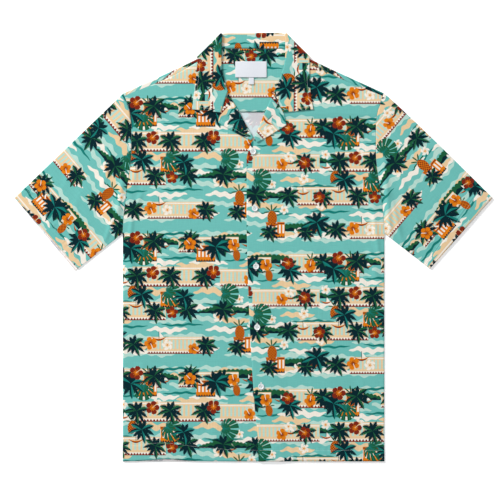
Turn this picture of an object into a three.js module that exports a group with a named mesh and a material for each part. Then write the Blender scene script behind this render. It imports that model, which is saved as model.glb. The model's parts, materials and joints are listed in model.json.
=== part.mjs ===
// A short-sleeved camp-collar shirt, buttoned and laid flat on its back, face up.
//
// Millimetres, +Z up. X runs across the shirt, positive towards the wearer's left arm, and Y runs
// from the hem up to the collar. The origin is under the middle of the shirt, on the surface that
// it lies on. The shirt is built as it is sewn: a back, an outer and an inner yoke, two fronts, two
// sleeves that are flattened tubes, two lapels, a collar, a neck label with its size tab, and five
// buttons. Each is a thin wall of cloth, and the panels lie on each other with a little air between.

import * as THREE from "three";

// Driving dimensions.
const LENGTH = 806.6; // hem to the fold at the top of the collar
const HALF_CHEST = 246.3; // the flat body is as wide at the hem as under the arms
const UNDERARM_Y = 25.4;
const YOKE_Y = 254; // the seam of both yokes on the back
const SHOULDER = { x: 245, y: 289.5 }; // where the shoulder seam meets the sleeve
// Each sleeve's hem, at the top fold and at the underarm fold. The left one has a bow in its top
// fold, and the right one shows its under layer past the upper.
const SLEEVES = {
  left: { topX: 450, topY: 92.6, lowX: 331.6, lowY: -41, bow: 1.6, peek: 0 },
  right: { topX: 450, topY: 92.6, lowX: 330.8, lowY: -41, bow: 0, peek: 6 },
};
const SLEEVE_HEM_AT = 0.89; // where its hem begins, as a share of the sleeve's length
const HEM_DEPTH = 20;
const PLACKET_WIDTH = 31; // how far the under front reaches past the edge of the upper one
const BUTTON = { radius: 5.7, thick: 2.2, holeRadius: 0.9, holeOffset: 1.7 };
const LABEL = { x: -5, y: 333.7, width: 59, height: 30 };
const SIZE_TAB = { x: -4.4, width: 10, height: 12.5 };

// Cloth and the air between layers.
const WALL = 1.0; // one layer
const HEM_EXTRA = 0.5; // a hem is folded twice, so it stands a little higher
const LAPEL_WALL = 1.4; // front and facing together
const COLLAR_WALL = 1.6; // two layers and their stiffener
const AIR = 0.4; // between one layer and the next
const SEAM_GAP = 0.35; // between pieces that are sewn edge to edge
const LAYER = WALL + AIR;
const BACK_INSET = 2.2; // the back ends inside the rounded sides of the fronts
const COLLAR_ROLL = 1.2; // radius of the roll, to the middle of the wall
const LAPEL_ROLL = 1.25;
const LAPEL_INWARD = { x: -0.914, y: 0.405 }; // across the lapel's roll, towards the open neck
const LAPEL_FOOT_Y = 197; // where the upper front's free edge becomes the roll of its lapel
const SEAM_FROM_X = 85; // where the shoulder seam meets the collar
const FALL_LIFT = COLLAR_WALL + AIR; // the yokes lie over the collar's fall behind the neck

const HEM_Y = -LENGTH / 2;

// Edges of the garment, each a short table that a smooth line runs through.
const ARMHOLE = [
  { y: UNDERARM_Y, x: HALF_CHEST },
  { y: 54, x: 244.5 },
  { y: 85, x: 241 },
  { y: 113, x: 237.5 },
  { y: 150, x: 232 },
  { y: 182, x: 229.8 },
  { y: 217, x: 229.8 },
  { y: 248, x: 232 },
  { y: 270, x: 237.5 },
  { y: SHOULDER.y, x: SHOULDER.x },
];
const SHOULDER_FOLD = [
  { x: 60, y: 377 },
  { x: 84, y: 365.5 },
  { x: 109, y: 352.2 },
  { x: 126, y: 344 },
  { x: 154, y: 331 },
  { x: 212, y: 304.5 },
  { x: SHOULDER.x, y: SHOULDER.y },
];
// Rows that the body and a sleeve share along the armhole, as shares of its height.
const ARM_SHARES = [0, 0.08, 0.17, 0.26, 0.36, 0.46, 0.56, 0.65, 0.73, 0.8, 0.86, 0.91, 0.96, 1];
// How far the yoke comes over the shoulder fold to its seam with the front.
const YOKE_STRIP = [
  { x: 84, reach: 3 },
  { x: 109, reach: 6 },
  { x: 160, reach: 9.5 },
  { x: 212, reach: 8 },
  { x: SHOULDER.x, reach: 5.5 },
];
const NECK_SEAM = [
  { x: 0, y: 373 },
  { x: 58, y: 373 },
  { x: 70, y: 371 },
  { x: 84, y: 365 },
];
// The free edge of the upper front, from the hem to the foot of its lapel.
const LEADING_EDGE = [
  { y: HEM_Y, x: 9.4 },
  { y: -361.7, x: 8 },
  { y: -301.7, x: 2 },
  { y: -196, x: -4.7 },
  { y: -63.4, x: -10.5 },
  { y: 66, x: -13.2 },
  { y: 165, x: -13.2 },
  { y: 182, x: -9.4 },
  { y: 197, x: -4.5 },
];
// The front's neck edge: beside the roll of the lapel, then along the collar's stand.
const FRONT_NECK = [
  { y: 197, x: -1.7 },
  { y: 200, x: 3 },
  { y: 203, x: 6.4 },
  { y: 206, x: 8.2 },
  { y: 214, x: 10.6 },
  { y: 230, x: 17 },
  { y: 258, x: 28.8 },
  { y: 288, x: 43.6 },
  { y: 303, x: 51.4 },
  { y: 327, x: 65 },
  { y: 351, x: 78.5 },
  { y: 361.5, x: 85 },
];
// Collar stations from the gorge to the middle of the back: seam, roll and free edge in plan.
const COLLAR = [
  { seamX: 42.4, seamY: 289.8, rollX: 40.6, rollY: 291.4, edgeX: 58.4, edgeY: 253 },
  { seamX: 49, seamY: 302, rollX: 45, rollY: 300.5, edgeX: 86, edgeY: 255.6 },
  { seamX: 56.5, seamY: 315, rollX: 50.5, rollY: 312, edgeX: 115.6, edgeY: 258.7 },
  { seamX: 64, seamY: 327, rollX: 56, rollY: 325, edgeX: 112.6, edgeY: 286 },
  { seamX: 71, seamY: 339, rollX: 59.4, rollY: 340, edgeX: 108.6, edgeY: 317 },
  { seamX: 77, seamY: 351, rollX: 60.8, rollY: 356, edgeX: 106.4, edgeY: 338 },
  { seamX: 80.5, seamY: 360, rollX: 60.8, rollY: 377, edgeX: 105.8, edgeY: 348 },
  { seamX: 80, seamY: 368.5, rollX: 59, rollY: 399.6, edgeX: 105.2, edgeY: 353.6 },
  { seamX: 80, seamY: 368.5, rollX: 59, rollY: 399.6, edgeX: 105.2, edgeY: 353.6 },
  { seamX: 69, seamY: 373, rollX: 48, rollY: 402.5, edgeX: 86, edgeY: 347 },
  { seamX: 52, seamY: 373.3, rollX: 32, rollY: 402.5, edgeX: 58, edgeY: 343.5 },
  { seamX: 0, seamY: 373.3, rollX: 0, rollY: 402.5, edgeX: 0, edgeY: 341 },
];
const TURN_FROM = 7; // between this station and the next the collar folds over the shoulder
// The foot of the neck opening leans a little towards the wearer's right.
const LEAN = { by: -2.8, fromY: 200, toY: 245 };
// Lapel stations from its foot to the gorge.
const LAPEL = [
  { rollX: 4, rollY: 205, edgeX: 8.5, edgeY: 196.5 },
  { rollX: 7.4, rollY: 214, edgeX: 32, edgeY: 209.3 },
  { rollX: 14, rollY: 230, edgeX: 62.5, edgeY: 229.6 },
  { rollX: 26, rollY: 258, edgeX: 60, edgeY: 240.5 },
  { rollX: 39.4, rollY: 286.6, edgeX: 56.6, edgeY: 250.6 },
];
const BUTTONS = [
  { x: -0.8, y: 179.5 },
  { x: 2.4, y: 72.6 },
  { x: 4.7, y: -36.5 },
  { x: 6.8, y: -150.8 },
  { x: 14.1, y: -262.3 },
];
// The largest soft folds of the fronts: each is a ridge from one point to another.
const FOLDS = [
  { fromX: 222, fromY: 150, toX: 236, toY: 20, width: 12, height: 1.7 },
  { fromX: 232, fromY: 60, toX: 232, toY: -140, width: 10, height: 1.2 },
  { fromX: 150, fromY: 175, toX: 226, toY: 70, width: 16, height: 0.9 },
  { fromX: 70, fromY: -150, toX: 190, toY: -260, width: 22, height: 0.8 },
  { fromX: 132, fromY: -405, toX: 120, toY: -260, width: 20, height: 0.9 },
  { fromX: -226, fromY: 165, toX: -238, toY: 30, width: 12, height: 1.8 },
  { fromX: -231, fromY: 70, toX: -234, toY: -120, width: 10, height: 1.3 },
  { fromX: -140, fromY: 150, toX: -222, toY: 55, width: 16, height: 0.8 },
  { fromX: -60, fromY: -90, toX: -180, toY: -170, width: 22, height: 0.8 },
  { fromX: -150, fromY: -405, toX: -138, toY: -250, width: 20, height: 0.9 },
];
// Folds of a sleeve's upper layer, by share of its length and of its width from the underarm.
const SLEEVE_FOLDS = [
  { along: 0.16, across: 0.14, reach: 0.2, spread: 0.1, height: 1.8 },
  { along: 0.1, across: 0.42, reach: 0.14, spread: 0.12, height: 0.9 },
  { along: 0.55, across: 0.5, reach: 0.45, spread: 0.3, height: 1.0 },
  { along: 0.25, across: 0.8, reach: 0.2, spread: 0.12, height: 0.6 },
];

const clamp = (v) => Math.min(1, Math.max(0, v));
const mix = (a, b, t) => a + (b - a) * t;
// Eases from 0 to 1 as v goes from one value to another.
const ease = (v, from, to) => THREE.MathUtils.smoothstep(v, from, to);
const evenly = (from, to, steps) =>
  Array.from({ length: steps + 1 }, (_, i) => mix(from, to, i / steps));

// A smooth line through a table's rows that never overshoots them: the column `give` at any value
// of the column `by`. Past the first and last row it holds their values.
function lineThrough(rows, by, give) {
  const at = rows.map((r, i) => (by === "row" ? i : r[by]));
  const value = rows.map((r) => r[give]);
  const last = rows.length - 1;
  const slope = (i) => (at[i + 1] === at[i] ? 0 : (value[i + 1] - value[i]) / (at[i + 1] - at[i]));
  const tangent = value.map((_, i) => {
    if (i === 0) return slope(0);
    if (i === last) return slope(last - 1);
    const [before, after] = [slope(i - 1), slope(i)];
    return before * after <= 0 ? 0 : (2 * before * after) / (before + after);
  });
  return (v) => {
    if (v <= at[0]) return value[0];
    if (v >= at[last]) return value[last];
    let i = 0;
    while (v > at[i + 1]) i += 1;
    const span = at[i + 1] - at[i];
    const t = (v - at[i]) / span;
    const bend = (2 * t - 3) * t * t;
    return (
      value[i] * (1 + bend) -
      value[i + 1] * bend +
      span * t * (1 - t) * (tangent[i] * (1 - t) - tangent[i + 1] * t)
    );
  };
}
// Straight runs through a table's rows, for an edge with a sharp corner.
function straightThrough(rows, give) {
  return (row) => {
    const i = Math.min(rows.length - 2, Math.max(0, Math.floor(row)));
    return mix(rows[i][give], rows[i + 1][give], clamp(row - i));
  };
}

const armholeX = lineThrough(ARMHOLE, "y", "x");
const shoulderY = lineThrough(SHOULDER_FOLD, "x", "y");
const yokeStrip = lineThrough(YOKE_STRIP, "x", "reach");
const neckSeamY = lineThrough(NECK_SEAM, "x", "y");
const leadingX = lineThrough(LEADING_EDGE, "y", "x");
const frontNeckX = lineThrough(FRONT_NECK, "y", "x");
const lean = (y) => LEAN.by * (1 - ease(y, LEAN.fromY, LEAN.toY));
const armRows = ARM_SHARES.map((share) => mix(UNDERARM_Y, SHOULDER.y, share));

// A point of the seam between yoke and front, from the place above it on the shoulder fold.
function frontSeam(foldX) {
  const y = shoulderY(foldX) - yokeStrip(foldX) - SEAM_GAP / 2;
  return [(foldX * armholeX(Math.min(y, SHOULDER.y))) / SHOULDER.x, y];
}

// Turns a grid of outer points and a grid of inner points into one closed wall. A ring joins its
// last column to its first.
function wallBetween(outer, inner, ring = false) {
  const rows = outer.length;
  const columns = outer[0].length;
  const points = [...outer.flat(), ...inner.flat()];
  const o = (i, j) => i * columns + (j % columns);
  const n = (i, j) => rows * columns + o(i, j);
  const index = [];
  const quad = (a, b, c, d) => index.push(a, b, c, a, c, d);
  const across = ring ? columns : columns - 1;
  for (let i = 0; i < rows - 1; i += 1) {
    for (let j = 0; j < across; j += 1) {
      quad(o(i, j), o(i + 1, j), o(i + 1, j + 1), o(i, j + 1));
      quad(n(i, j), n(i, j + 1), n(i + 1, j + 1), n(i + 1, j));
    }
  }
  for (let j = 0; j < across; j += 1) {
    quad(o(0, j), o(0, j + 1), n(0, j + 1), n(0, j));
    quad(o(rows - 1, j), n(rows - 1, j), n(rows - 1, j + 1), o(rows - 1, j + 1));
  }
  for (let i = 0; !ring && i < rows - 1; i += 1) {
    quad(o(i, 0), n(i, 0), n(i + 1, 0), o(i + 1, 0));
    quad(o(i, columns - 1), o(i + 1, columns - 1), n(i + 1, columns - 1), n(i, columns - 1));
  }
  const volume = index.reduce((sum, _, k) => {
    if (k % 3) return sum;
    const [a, b, c] = [points[index[k]], points[index[k + 1]], points[index[k + 2]]];
    return sum + a.dot(b.clone().cross(c));
  }, 0);
  if (volume < 0) index.reverse();
  const geometry = new THREE.BufferGeometry();
  geometry.setAttribute(
    "position",
    new THREE.Float32BufferAttribute(points.flatMap((p) => [p.x, p.y, p.z]), 3),
  );
  geometry.setIndex(index);
  geometry.computeVertexNormals();
  return geometry;
}

// A cloth wall about the middle surface that `at(u, v)` gives, half its thickness to each side.
// `extra(u, v)` adds to the side that `extraSide` names.
function clothWall(at, us, vs, wall, extra = () => 0, extraSide = 1) {
  const step = 1e-3;
  const sides = [1, -1].map((side) =>
    us.map((u) =>
      vs.map((v) => {
        const alongU = at(u + step, v).sub(at(u - step, v));
        const alongV = at(u, v + step).sub(at(u, v - step));
        const normal = alongU.cross(alongV).normalize();
        const added = side === extraSide ? extra(u, v) : 0;
        const offset = side * (wall / 2 + added);
        return at(u, v).addScaledVector(normal, offset);
      }),
    ),
  );
  return wallBetween(sides[0], sides[1]);
}

// Heights of the layers, from the surface that the shirt lies on.

// The yokes rise over the part of the collar that lies behind the neck.
function riseOverFall(x, y) {
  return FALL_LIFT * ease(y, 288, 338) * (1 - ease(Math.abs(x), 108, 152));
}
function foldLift(x, y) {
  let lift = 0;
  for (const f of FOLDS) {
    const [dx, dy] = [f.toX - f.fromX, f.toY - f.fromY];
    const length = Math.hypot(dx, dy);
    const along = ((x - f.fromX) * dx + (y - f.fromY) * dy) / length ** 2;
    const off = ((x - f.fromX) * dy - (y - f.fromY) * dx) / length / f.width;
    lift += f.height * Math.sin(Math.PI * clamp(along)) ** 2 * Math.exp(-off * off);
  }
  const side = y < UNDERARM_Y ? ease(HALF_CHEST - Math.abs(x), 2, 12) : 1;
  return lift * side;
}
// The underside of a front. The upper one climbs over the edge of the under one.
function frontUnder(x, y, upper) {
  const overYokes = LAYER * ease(y, YOKE_Y - 16, YOKE_Y - 2);
  const underEdge = leadingX(y) + PLACKET_WIDTH;
  const underHem = HEM_EXTRA * (1 - ease(y, HEM_Y + HEM_DEPTH, HEM_Y + 2 * HEM_DEPTH));
  const climb = (LAYER + underHem) * (1 - ease(x, underEdge + 2, underEdge + 36));
  const fading = upper ? climb * (1 - ease(y, 206, 236)) : 0;
  return riseOverFall(x, y) + LAYER + overYokes + fading + foldLift(x, y);
}
const frontTop = (x, y, upper) => frontUnder(x, y, upper) + WALL;

// Pieces.

// The back lies flat on its outside, from the hem to the yoke seam, a little inside the fronts'
// rounded sides.
function back() {
  const at = (u, y) => {
    const edge = armholeX(y) - BACK_INSET * (1 - ease(y, UNDERARM_Y, UNDERARM_Y + 21));
    return new THREE.Vector3(u * edge, y, WALL / 2);
  };
  const beside = armRows.filter((y) => y < YOKE_Y - 4);
  const ys = [...evenly(HEM_Y, 0, 6), ...beside, YOKE_Y - SEAM_GAP];
  return clothWall(at, evenly(-1, 1, 8), ys, WALL);
}

// The outer yoke: flat behind the shoulders, round the shoulder fold, and over to the front seam.
// A section runs up the back by its own length, and stops early along the neck seam.
function outerYoke() {
  const radius = LAYER;
  const at = (u, share) => {
    const foldX = Math.abs(u) * SHOULDER.x;
    const flat = shoulderY(foldX) - WALL / 2 - radius - YOKE_Y;
    const over = flat + Math.PI * radius + yokeStrip(foldX) - radius - WALL / 2 - SEAM_GAP / 2;
    const toNeck = neckSeamY(foldX) - YOKE_Y;
    const length = mix(toNeck, over, ease(foldX, SEAM_FROM_X - 2, SEAM_FROM_X + 7));
    // Half of the rows lie on the flat part, and the others follow the bend and the strip.
    const bendAt = Math.min(flat, length - 1);
    const s = share < 0.5 ? mix(0, bendAt, share * 2) : mix(bendAt, length, share * 2 - 1);
    let [y, z] = [YOKE_Y + s, 0];
    if (s > flat) {
      const turn = Math.min(Math.PI, (s - flat) / radius);
      const past = Math.max(0, s - flat - Math.PI * radius);
      y = YOKE_Y + flat + radius * Math.sin(turn) - past;
      z = radius * (1 - Math.cos(turn));
    }
    const x = u * (armholeX(Math.min(y, SHOULDER.y)) - SEAM_GAP);
    return new THREE.Vector3(x, y, riseOverFall(x, y) + WALL / 2 + z);
  };
  const shares = [0, 0.2, 0.32, 0.41, 0.5, 0.6, 0.7, 0.8, 1];
  return clothWall(at, evenly(-1, 1, 34), shares, WALL);
}

// The inner yoke lies on the outer one, and shows inside the neck.
function innerYoke() {
  const at = (u, v) => {
    const topX = Math.abs(u) * SHOULDER.x;
    const underFold = shoulderY(topX) - 4.5;
    const top = topX > SEAM_FROM_X ? underFold : Math.min(neckSeamY(topX), underFold);
    const y = mix(YOKE_Y, top, v);
    const x = u * (armholeX(Math.min(y, SHOULDER.y)) - SEAM_GAP);
    return new THREE.Vector3(x, y, riseOverFall(x, y) + LAYER + WALL / 2);
  };
  return clothWall(at, evenly(-1, 1, 26), [0, 0.3, 0.45, 0.6, 0.8, 1], WALL);
}

// A front. `hand` is 1 for the wearer's left, which lies on top, and -1 for the right. `u` runs
// from the middle to the side, and `v` from the hem (0) to the yoke level (1) to the shoulder (2).
function front(hand) {
  const upper = hand > 0;
  const sideRadius = LAYER + WALL / 2;
  const innerX = (y) => {
    if (upper) return y < LAPEL_FOOT_Y ? leadingX(y) : frontNeckX(y) + lean(y);
    // The under front's edge, hidden below the upper front, is on the far side of the middle. It
    // turns to its own lapel over this stretch.
    const [turnFrom, turnTo] = [LAPEL_FOOT_Y - 19, LAPEL_FOOT_Y + 9];
    const hidden = -(leadingX(y) + PLACKET_WIDTH);
    return mix(hidden, frontNeckX(Math.max(y, turnTo)) - lean(y), ease(y, turnFrom, turnTo));
  };
  const seam = (u) => frontSeam(mix(SEAM_FROM_X, SHOULDER.x, u));
  const lowY = YOKE_Y - 2;
  const plan = (u, v) => {
    if (v <= 1) {
      const y = mix(HEM_Y, lowY, v);
      return [mix(innerX(y), armholeX(y), u), y];
    }
    const rise = v - 1;
    const cornerY = seam(1)[1];
    const [topX, topY] = seam(u);
    const neckY = mix(lowY, seam(0)[1], rise);
    const armY = mix(lowY, cornerY, rise);
    const low = mix(innerX(lowY), armholeX(lowY), u);
    const bowIn = innerX(neckY) - mix(innerX(lowY), seam(0)[0], rise);
    const bowOut = armholeX(armY) - mix(armholeX(lowY), seam(1)[0], rise);
    return [mix(low, topX, rise) + bowIn * (1 - u) + bowOut * u, mix(lowY, topY, rise)];
  };
  // The columns past bendAt lie on the rounded side, which is a small share of the width.
  const [bendAt, bendShare] = [0.8, 0.97];
  const bendX = HALF_CHEST - WALL / 2 - sideRadius;
  const at = (u, v) => {
    const past = (u - bendAt) / (1 - bendAt);
    const [x, y] = plan(past < 0 ? (u / bendAt) * bendShare : mix(bendShare, 1, past), v);
    const point = new THREE.Vector3(x, y, frontUnder(hand * x, y, upper) + WALL / 2);
    // Below the arm the side rounds down to the floor, past the edge of the back.
    const turn = (clamp(past) * Math.PI) / 2;
    const bentX = past < 0 ? mix(innerX(y), bendX, u / bendAt) : bendX + sideRadius * Math.sin(turn);
    const overSide = frontUnder(hand * Math.min(bentX, bendX), y, upper) + WALL / 2;
    const bentZ = mix(
      overSide + sideRadius * (Math.cos(turn) - 1),
      sideRadius * Math.cos(turn),
      ease(past, 0, 0.3),
    );
    point.lerp(new THREE.Vector3(bentX, y, bentZ), 1 - ease(y, 6, UNDERARM_Y - 1));
    point.x *= hand;
    return point;
  };
  const across = [0, 0.06, 0.11, 0.15, 0.19, 0.24, 0.34, 0.46, 0.58, 0.7, bendAt, 0.87, 0.94, 1];
  const row = (y) => (y - HEM_Y) / (lowY - HEM_Y);
  const hemTop = HEM_Y + HEM_DEPTH;
  // Rows that follow the hem, the underarm, the armhole and the neck.
  const neckRows = [180, 190, LAPEL_FOOT_Y, 200, 203, 206, 214, 226, 238];
  const beside = armRows.filter((y) => y < neckRows[0] - 5);
  const below = [HEM_Y, hemTop - 2, hemTop, ...evenly(-350, 0, 9), 9, 17];
  const up = [...[...below, ...beside, ...neckRows].map(row), ...evenly(1, 2, 8)];
  const hem = (u, v) => (v <= row(hemTop - 2) + 1e-6 ? HEM_EXTRA : 0);
  return clothWall(at, across, up, WALL, hem, hand);
}

// A sleeve is one tube, pressed flat: its under layer on the floor, the fold along the top, its
// upper layer, and the underarm fold. It is open at the armhole and at the hem.
function sleeve(hand) {
  const own = hand > 0 ? SLEEVES.left : SLEEVES.right;
  const stations = [0, 0.07, 0.16, 0.27, 0.4, 0.6, 0.86, SLEEVE_HEM_AT, 1];
  const bend = [0.25, 0.5, 0.75];
  const ring = [
    ...ARM_SHARES.map((w) => ({ w, turn: -1 })),
    ...bend.map((b) => ({ w: 1, turn: mix(-1, 1, b) })),
    ...ARM_SHARES.map((w) => ({ w: 1 - w, turn: 1 })),
    ...bend.map((b) => ({ w: 0, turn: mix(1, -1, b) })),
  ];
  const edge = (s, w) => {
    const y = mix(UNDERARM_Y, SHOULDER.y, w);
    const bow = own.bow * Math.sin(Math.PI * s ** 0.6) * w ** 6;
    return new THREE.Vector3(
      mix(armholeX(y) + SEAM_GAP, mix(own.lowX, own.topX, w), s) + bow,
      mix(y, mix(own.lowY, own.topY, w), s) + bow,
      0,
    );
  };
  const height = (s, w) => {
    const y = mix(UNDERARM_Y, SHOULDER.y, w);
    const atArmhole = frontTop(hand * armholeX(y), y, hand > 0) - LAYER - WALL;
    let lift = atArmhole * (1 - ease(s, 0, 0.35));
    for (const f of SLEEVE_FOLDS) {
      const [a, c] = [(s - f.along) / f.reach, (w - f.across) / f.spread];
      lift += f.height * Math.exp(-a * a - c * c) * ease(s, 0, 0.08) * Math.min(1, 5 * w * (1 - w));
    }
    if (s >= SLEEVE_HEM_AT) lift += HEM_EXTRA;
    return LAYER + WALL + lift;
  };
  const grid = (inset) =>
    stations.map((s) =>
      ring.map(({ w, turn }) => {
        const [low, top] = [edge(s, 0), edge(s, 1)];
        const chord = top.clone().sub(low);
        const unit = chord.clone().normalize();
        const radius = height(s, w) / 2;
        const room = [height(s, 0) / 2, height(s, 1) / 2].map((r) => r / chord.length());
        const point = edge(s, mix(room[0], 1 - room[1], w));
        const angle = (turn * Math.PI) / 2;
        const out = (w === 1 ? 1 : w === 0 ? -1 : 0) * Math.cos(angle);
        const reach = Math.abs(turn) === 1 ? 0 : radius - inset;
        point.addScaledVector(unit, out * reach);
        point.z = radius + (radius - inset) * Math.sin(angle);
        const peek = own.peek * (1 - w) * Math.max(-turn, 0) * ease(s, 0.86, 1);
        const alongSleeve = edge(1, w).sub(edge(0.8, w)).normalize();
        point.addScaledVector(alongSleeve, peek);
        point.x *= hand;
        return point;
      }),
    );
  return wallBetween(grid(0), grid(WALL), true);
}

// A lapel: the front and its facing, turned back over the front along the roll.
function lapel(hand) {
  const column = (give) => straightThrough(LAPEL, give);
  const roll = [lineThrough(LAPEL, "row", "rollX"), lineThrough(LAPEL, "row", "rollY")];
  const free = [column("edgeX"), column("edgeY")];
  const inward = new THREE.Vector2(LAPEL_INWARD.x, LAPEL_INWARD.y);
  const radius = LAPEL_ROLL;
  // The wearer's right lapel stops short of the upper front's edge.
  const first = hand > 0 ? 0 : 0.12;
  const at = (row, t) => {
    const k = mix(first, LAPEL.length - 1, row);
    const foot = new THREE.Vector2(roll[0](k), roll[1](k)).addScaledVector(inward, -radius);
    foot.x += hand * lean(foot.y);
    const lip = frontUnder(hand * foot.x, foot.y, hand > 0) + LAPEL_WALL / 2;
    if (t <= 1) {
      const turn = t * Math.PI;
      const bend = foot.clone().addScaledVector(inward, radius * Math.sin(turn));
      return new THREE.Vector3(hand * bend.x, bend.y, lip + radius * (1 - Math.cos(turn)));
    }
    const freeX = free[0](k) + hand * lean(free[1](k));
    const [x, y] = [mix(foot.x, freeX, t - 1), mix(foot.y, free[1](k), t - 1)];
    const away = Math.hypot(x - foot.x, y - foot.y);
    const rest = frontTop(hand * x, y, hand > 0) + AIR + LAPEL_WALL / 2;
    const lift = lip + 2 * radius - rest;
    return new THREE.Vector3(hand * x, y, rest + lift * (1 - ease(away, 0, 22)));
  };
  return clothWall(at, evenly(0, 1, 8), [0, 0.33, 0.67, 1, 1.2, 1.45, 1.7, 2], LAPEL_WALL);
}

// The collar is one band from gorge to gorge. Behind the neck its stand lies face up and its fall
// lies under the yokes. It folds over each shoulder, and in front its leaf lies on the fronts.
// `k` counts the stations of the table to the middle of the back and on along the other side.
// `t` runs over the stand (0 to 1), the roll (1 to 2) and the leaf (2 to 3).
function collar() {
  const last = COLLAR.length - 1;
  const smooth = (give) => lineThrough(COLLAR, "row", give);
  const seam = [smooth("seamX"), smooth("seamY")];
  const roll = [smooth("rollX"), smooth("rollY")];
  const free = [straightThrough(COLLAR, "edgeX"), straightThrough(COLLAR, "edgeY")];
  const standBack = FALL_LIFT + LAYER - AIR / 2;
  const fall = COLLAR_WALL / 2;
  const at = (station, t) => {
    const mirrored = station > last;
    const k = mirrored ? 2 * last - station : station;
    const turn = Math.PI / 2 - Math.PI * clamp(k - TURN_FROM);
    const [over, out] = [Math.sin(turn), Math.cos(turn)];
    const start = new THREE.Vector2(seam[0](k), seam[1](k));
    const crest = new THREE.Vector2(roll[0](k), roll[1](k));
    const end = new THREE.Vector2(free[0](k), free[1](k));
    const along = crest.clone().sub(start).normalize();
    const foot = crest.clone().addScaledVector(along, -COLLAR_ROLL);
    const fan = end.clone().sub(foot).normalize();
    const [standOut, leafOut] = [
      new THREE.Vector2(along.y, -along.x),
      new THREE.Vector2(-fan.y, fan.x),
    ];
    const onStand = (share) => {
      const p = start.clone().lerp(foot, share);
      const front = riseOverFall(p.x, p.y) + 2 * LAYER + COLLAR_WALL / 2;
      const [middle, half] = [(front + standBack) / 2, (front - standBack) / 2];
      p.addScaledVector(standOut, half * out);
      return new THREE.Vector3(p.x, p.y, middle + half * over);
    };
    const onLeaf = (share) => {
      const p = foot.clone().lerp(end, share);
      const away = p.distanceTo(foot);
      const rest = frontTop(p.x, p.y, false) + AIR + COLLAR_WALL / 2;
      const base = riseOverFall(p.x, p.y) + 2 * LAYER + COLLAR_WALL / 2 + 2 * COLLAR_ROLL;
      const front = mix(Math.max(base, rest), rest, ease(away, 0, 26));
      const [middle, half] = [(front + fall) / 2, (front - fall) / 2];
      p.addScaledVector(leafOut, half * out);
      return new THREE.Vector3(p.x, p.y, middle + half * over);
    };
    let point;
    if (t <= 1) point = onStand(t);
    else if (t >= 2) point = onLeaf(t - 2);
    else {
      const [from, to] = [onStand(1), onLeaf(0)];
      const half = to.clone().sub(from).multiplyScalar(0.5);
      const angle = (t - 1) * Math.PI;
      point = from.add(half).addScaledVector(half, -Math.cos(angle));
      const reach = half.length() * Math.sin(angle);
      point.x += along.x * reach;
      point.y += along.y * reach;
    }
    if (mirrored) point.x *= -1;
    return point;
  };
  const half = [
    0, 0.5, 1, 1.5, 2, 2.5, 3, 4, 5, 6, 6.6, 7,
    7.15, 7.3, 7.45, 7.6, 7.75, 7.9, 8.05, 8.5, 9, 9.6, 10.2,
  ];
  const stations = [...half, last, ...half.map((k) => 2 * last - k).reverse()];
  const strip = [0, 1, 1.33, 1.67, 2, 2.2, 2.5, 3];
  return clothWall(at, stations, strip, COLLAR_WALL);
}

// A woven tag that lies on the inner yoke.
function tag(centreX, lowY, width, height) {
  const at = (u, v) => {
    const [x, y] = [centreX + u * width, lowY + v * height];
    return new THREE.Vector3(x, y, riseOverFall(x, y) + 2 * LAYER + WALL / 2);
  };
  return clothWall(at, evenly(-0.5, 0.5, 4), evenly(0, 1, 4), WALL);
}

// A shirt button with four holes.
function button() {
  const circle = (x, y, radius, corners) =>
    evenly(0, 2 * Math.PI, corners)
      .slice(1)
      .map((a) => new THREE.Vector2(x + radius * Math.cos(a), y + radius * Math.sin(a)));
  const disc = new THREE.Shape(circle(0, 0, BUTTON.radius, 24));
  const offset = BUTTON.holeOffset * Math.SQRT1_2;
  for (const [sx, sy] of [[1, 1], [-1, 1], [-1, -1], [1, -1]]) {
    disc.holes.push(new THREE.Path(circle(sx * offset, sy * offset, BUTTON.holeRadius, 6)));
  }
  return new THREE.ExtrudeGeometry(disc, { depth: BUTTON.thick, bevelEnabled: false });
}

// Finishes.
const PRINT = { color: 0x62b5ad, roughness: 0.85, metalness: 0 };
const WHITE = { color: 0xf1f1f4, roughness: 0.8, metalness: 0 };
const SHELL = { color: 0xeef2f2, roughness: 0.3, metalness: 0 };

function piece(name, geometry, finish) {
  const mesh = new THREE.Mesh(geometry, new THREE.MeshStandardMaterial(finish));
  mesh.name = name;
  return mesh;
}

const shirt = new THREE.Group();
shirt.add(
  piece("back", back(), PRINT),
  piece("yoke_outer", outerYoke(), PRINT),
  piece("yoke_inner", innerYoke(), PRINT),
  piece("front_left", front(1), PRINT),
  piece("front_right", front(-1), PRINT),
  piece("sleeve_left", sleeve(1), PRINT),
  piece("sleeve_right", sleeve(-1), PRINT),
  piece("lapel_left", lapel(1), PRINT),
  piece("lapel_right", lapel(-1), PRINT),
  piece("collar", collar(), PRINT),
  piece("neck_label", tag(LABEL.x, LABEL.y - LABEL.height / 2, LABEL.width, LABEL.height), WHITE),
);
const tabTop = LABEL.y - LABEL.height / 2 - SEAM_GAP;
shirt.add(
  piece("size_tab", tag(SIZE_TAB.x, tabTop - SIZE_TAB.height, SIZE_TAB.width, SIZE_TAB.height), WHITE),
);
BUTTONS.forEach(({ x, y }, i) => {
  const made = piece(`button_${i + 1}`, button(), SHELL);
  made.position.set(x, y, frontTop(x, y, true) + SEAM_GAP);
  shirt.add(made);
});

// The origin is under the middle of the whole shirt.
const box = new THREE.Box3().setFromObject(shirt);
const middle = box.getCenter(new THREE.Vector3());
shirt.position.set(-middle.x, -middle.y, -box.min.z);

export default shirt;
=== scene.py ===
# %% [markdown]
# # A hawaiian shirt, laid flat
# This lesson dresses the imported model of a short-sleeved camp-collar shirt. The real shirt is cut
# from printed rayon, a thin and soft plain weave, and it lies on its back with the front buttoned.
# The model's solids are already in the scene. They give each piece its place, and here every
# cloth piece gets a finer surface of the same form, with creases, seams, stitches and a print.

import json

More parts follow.
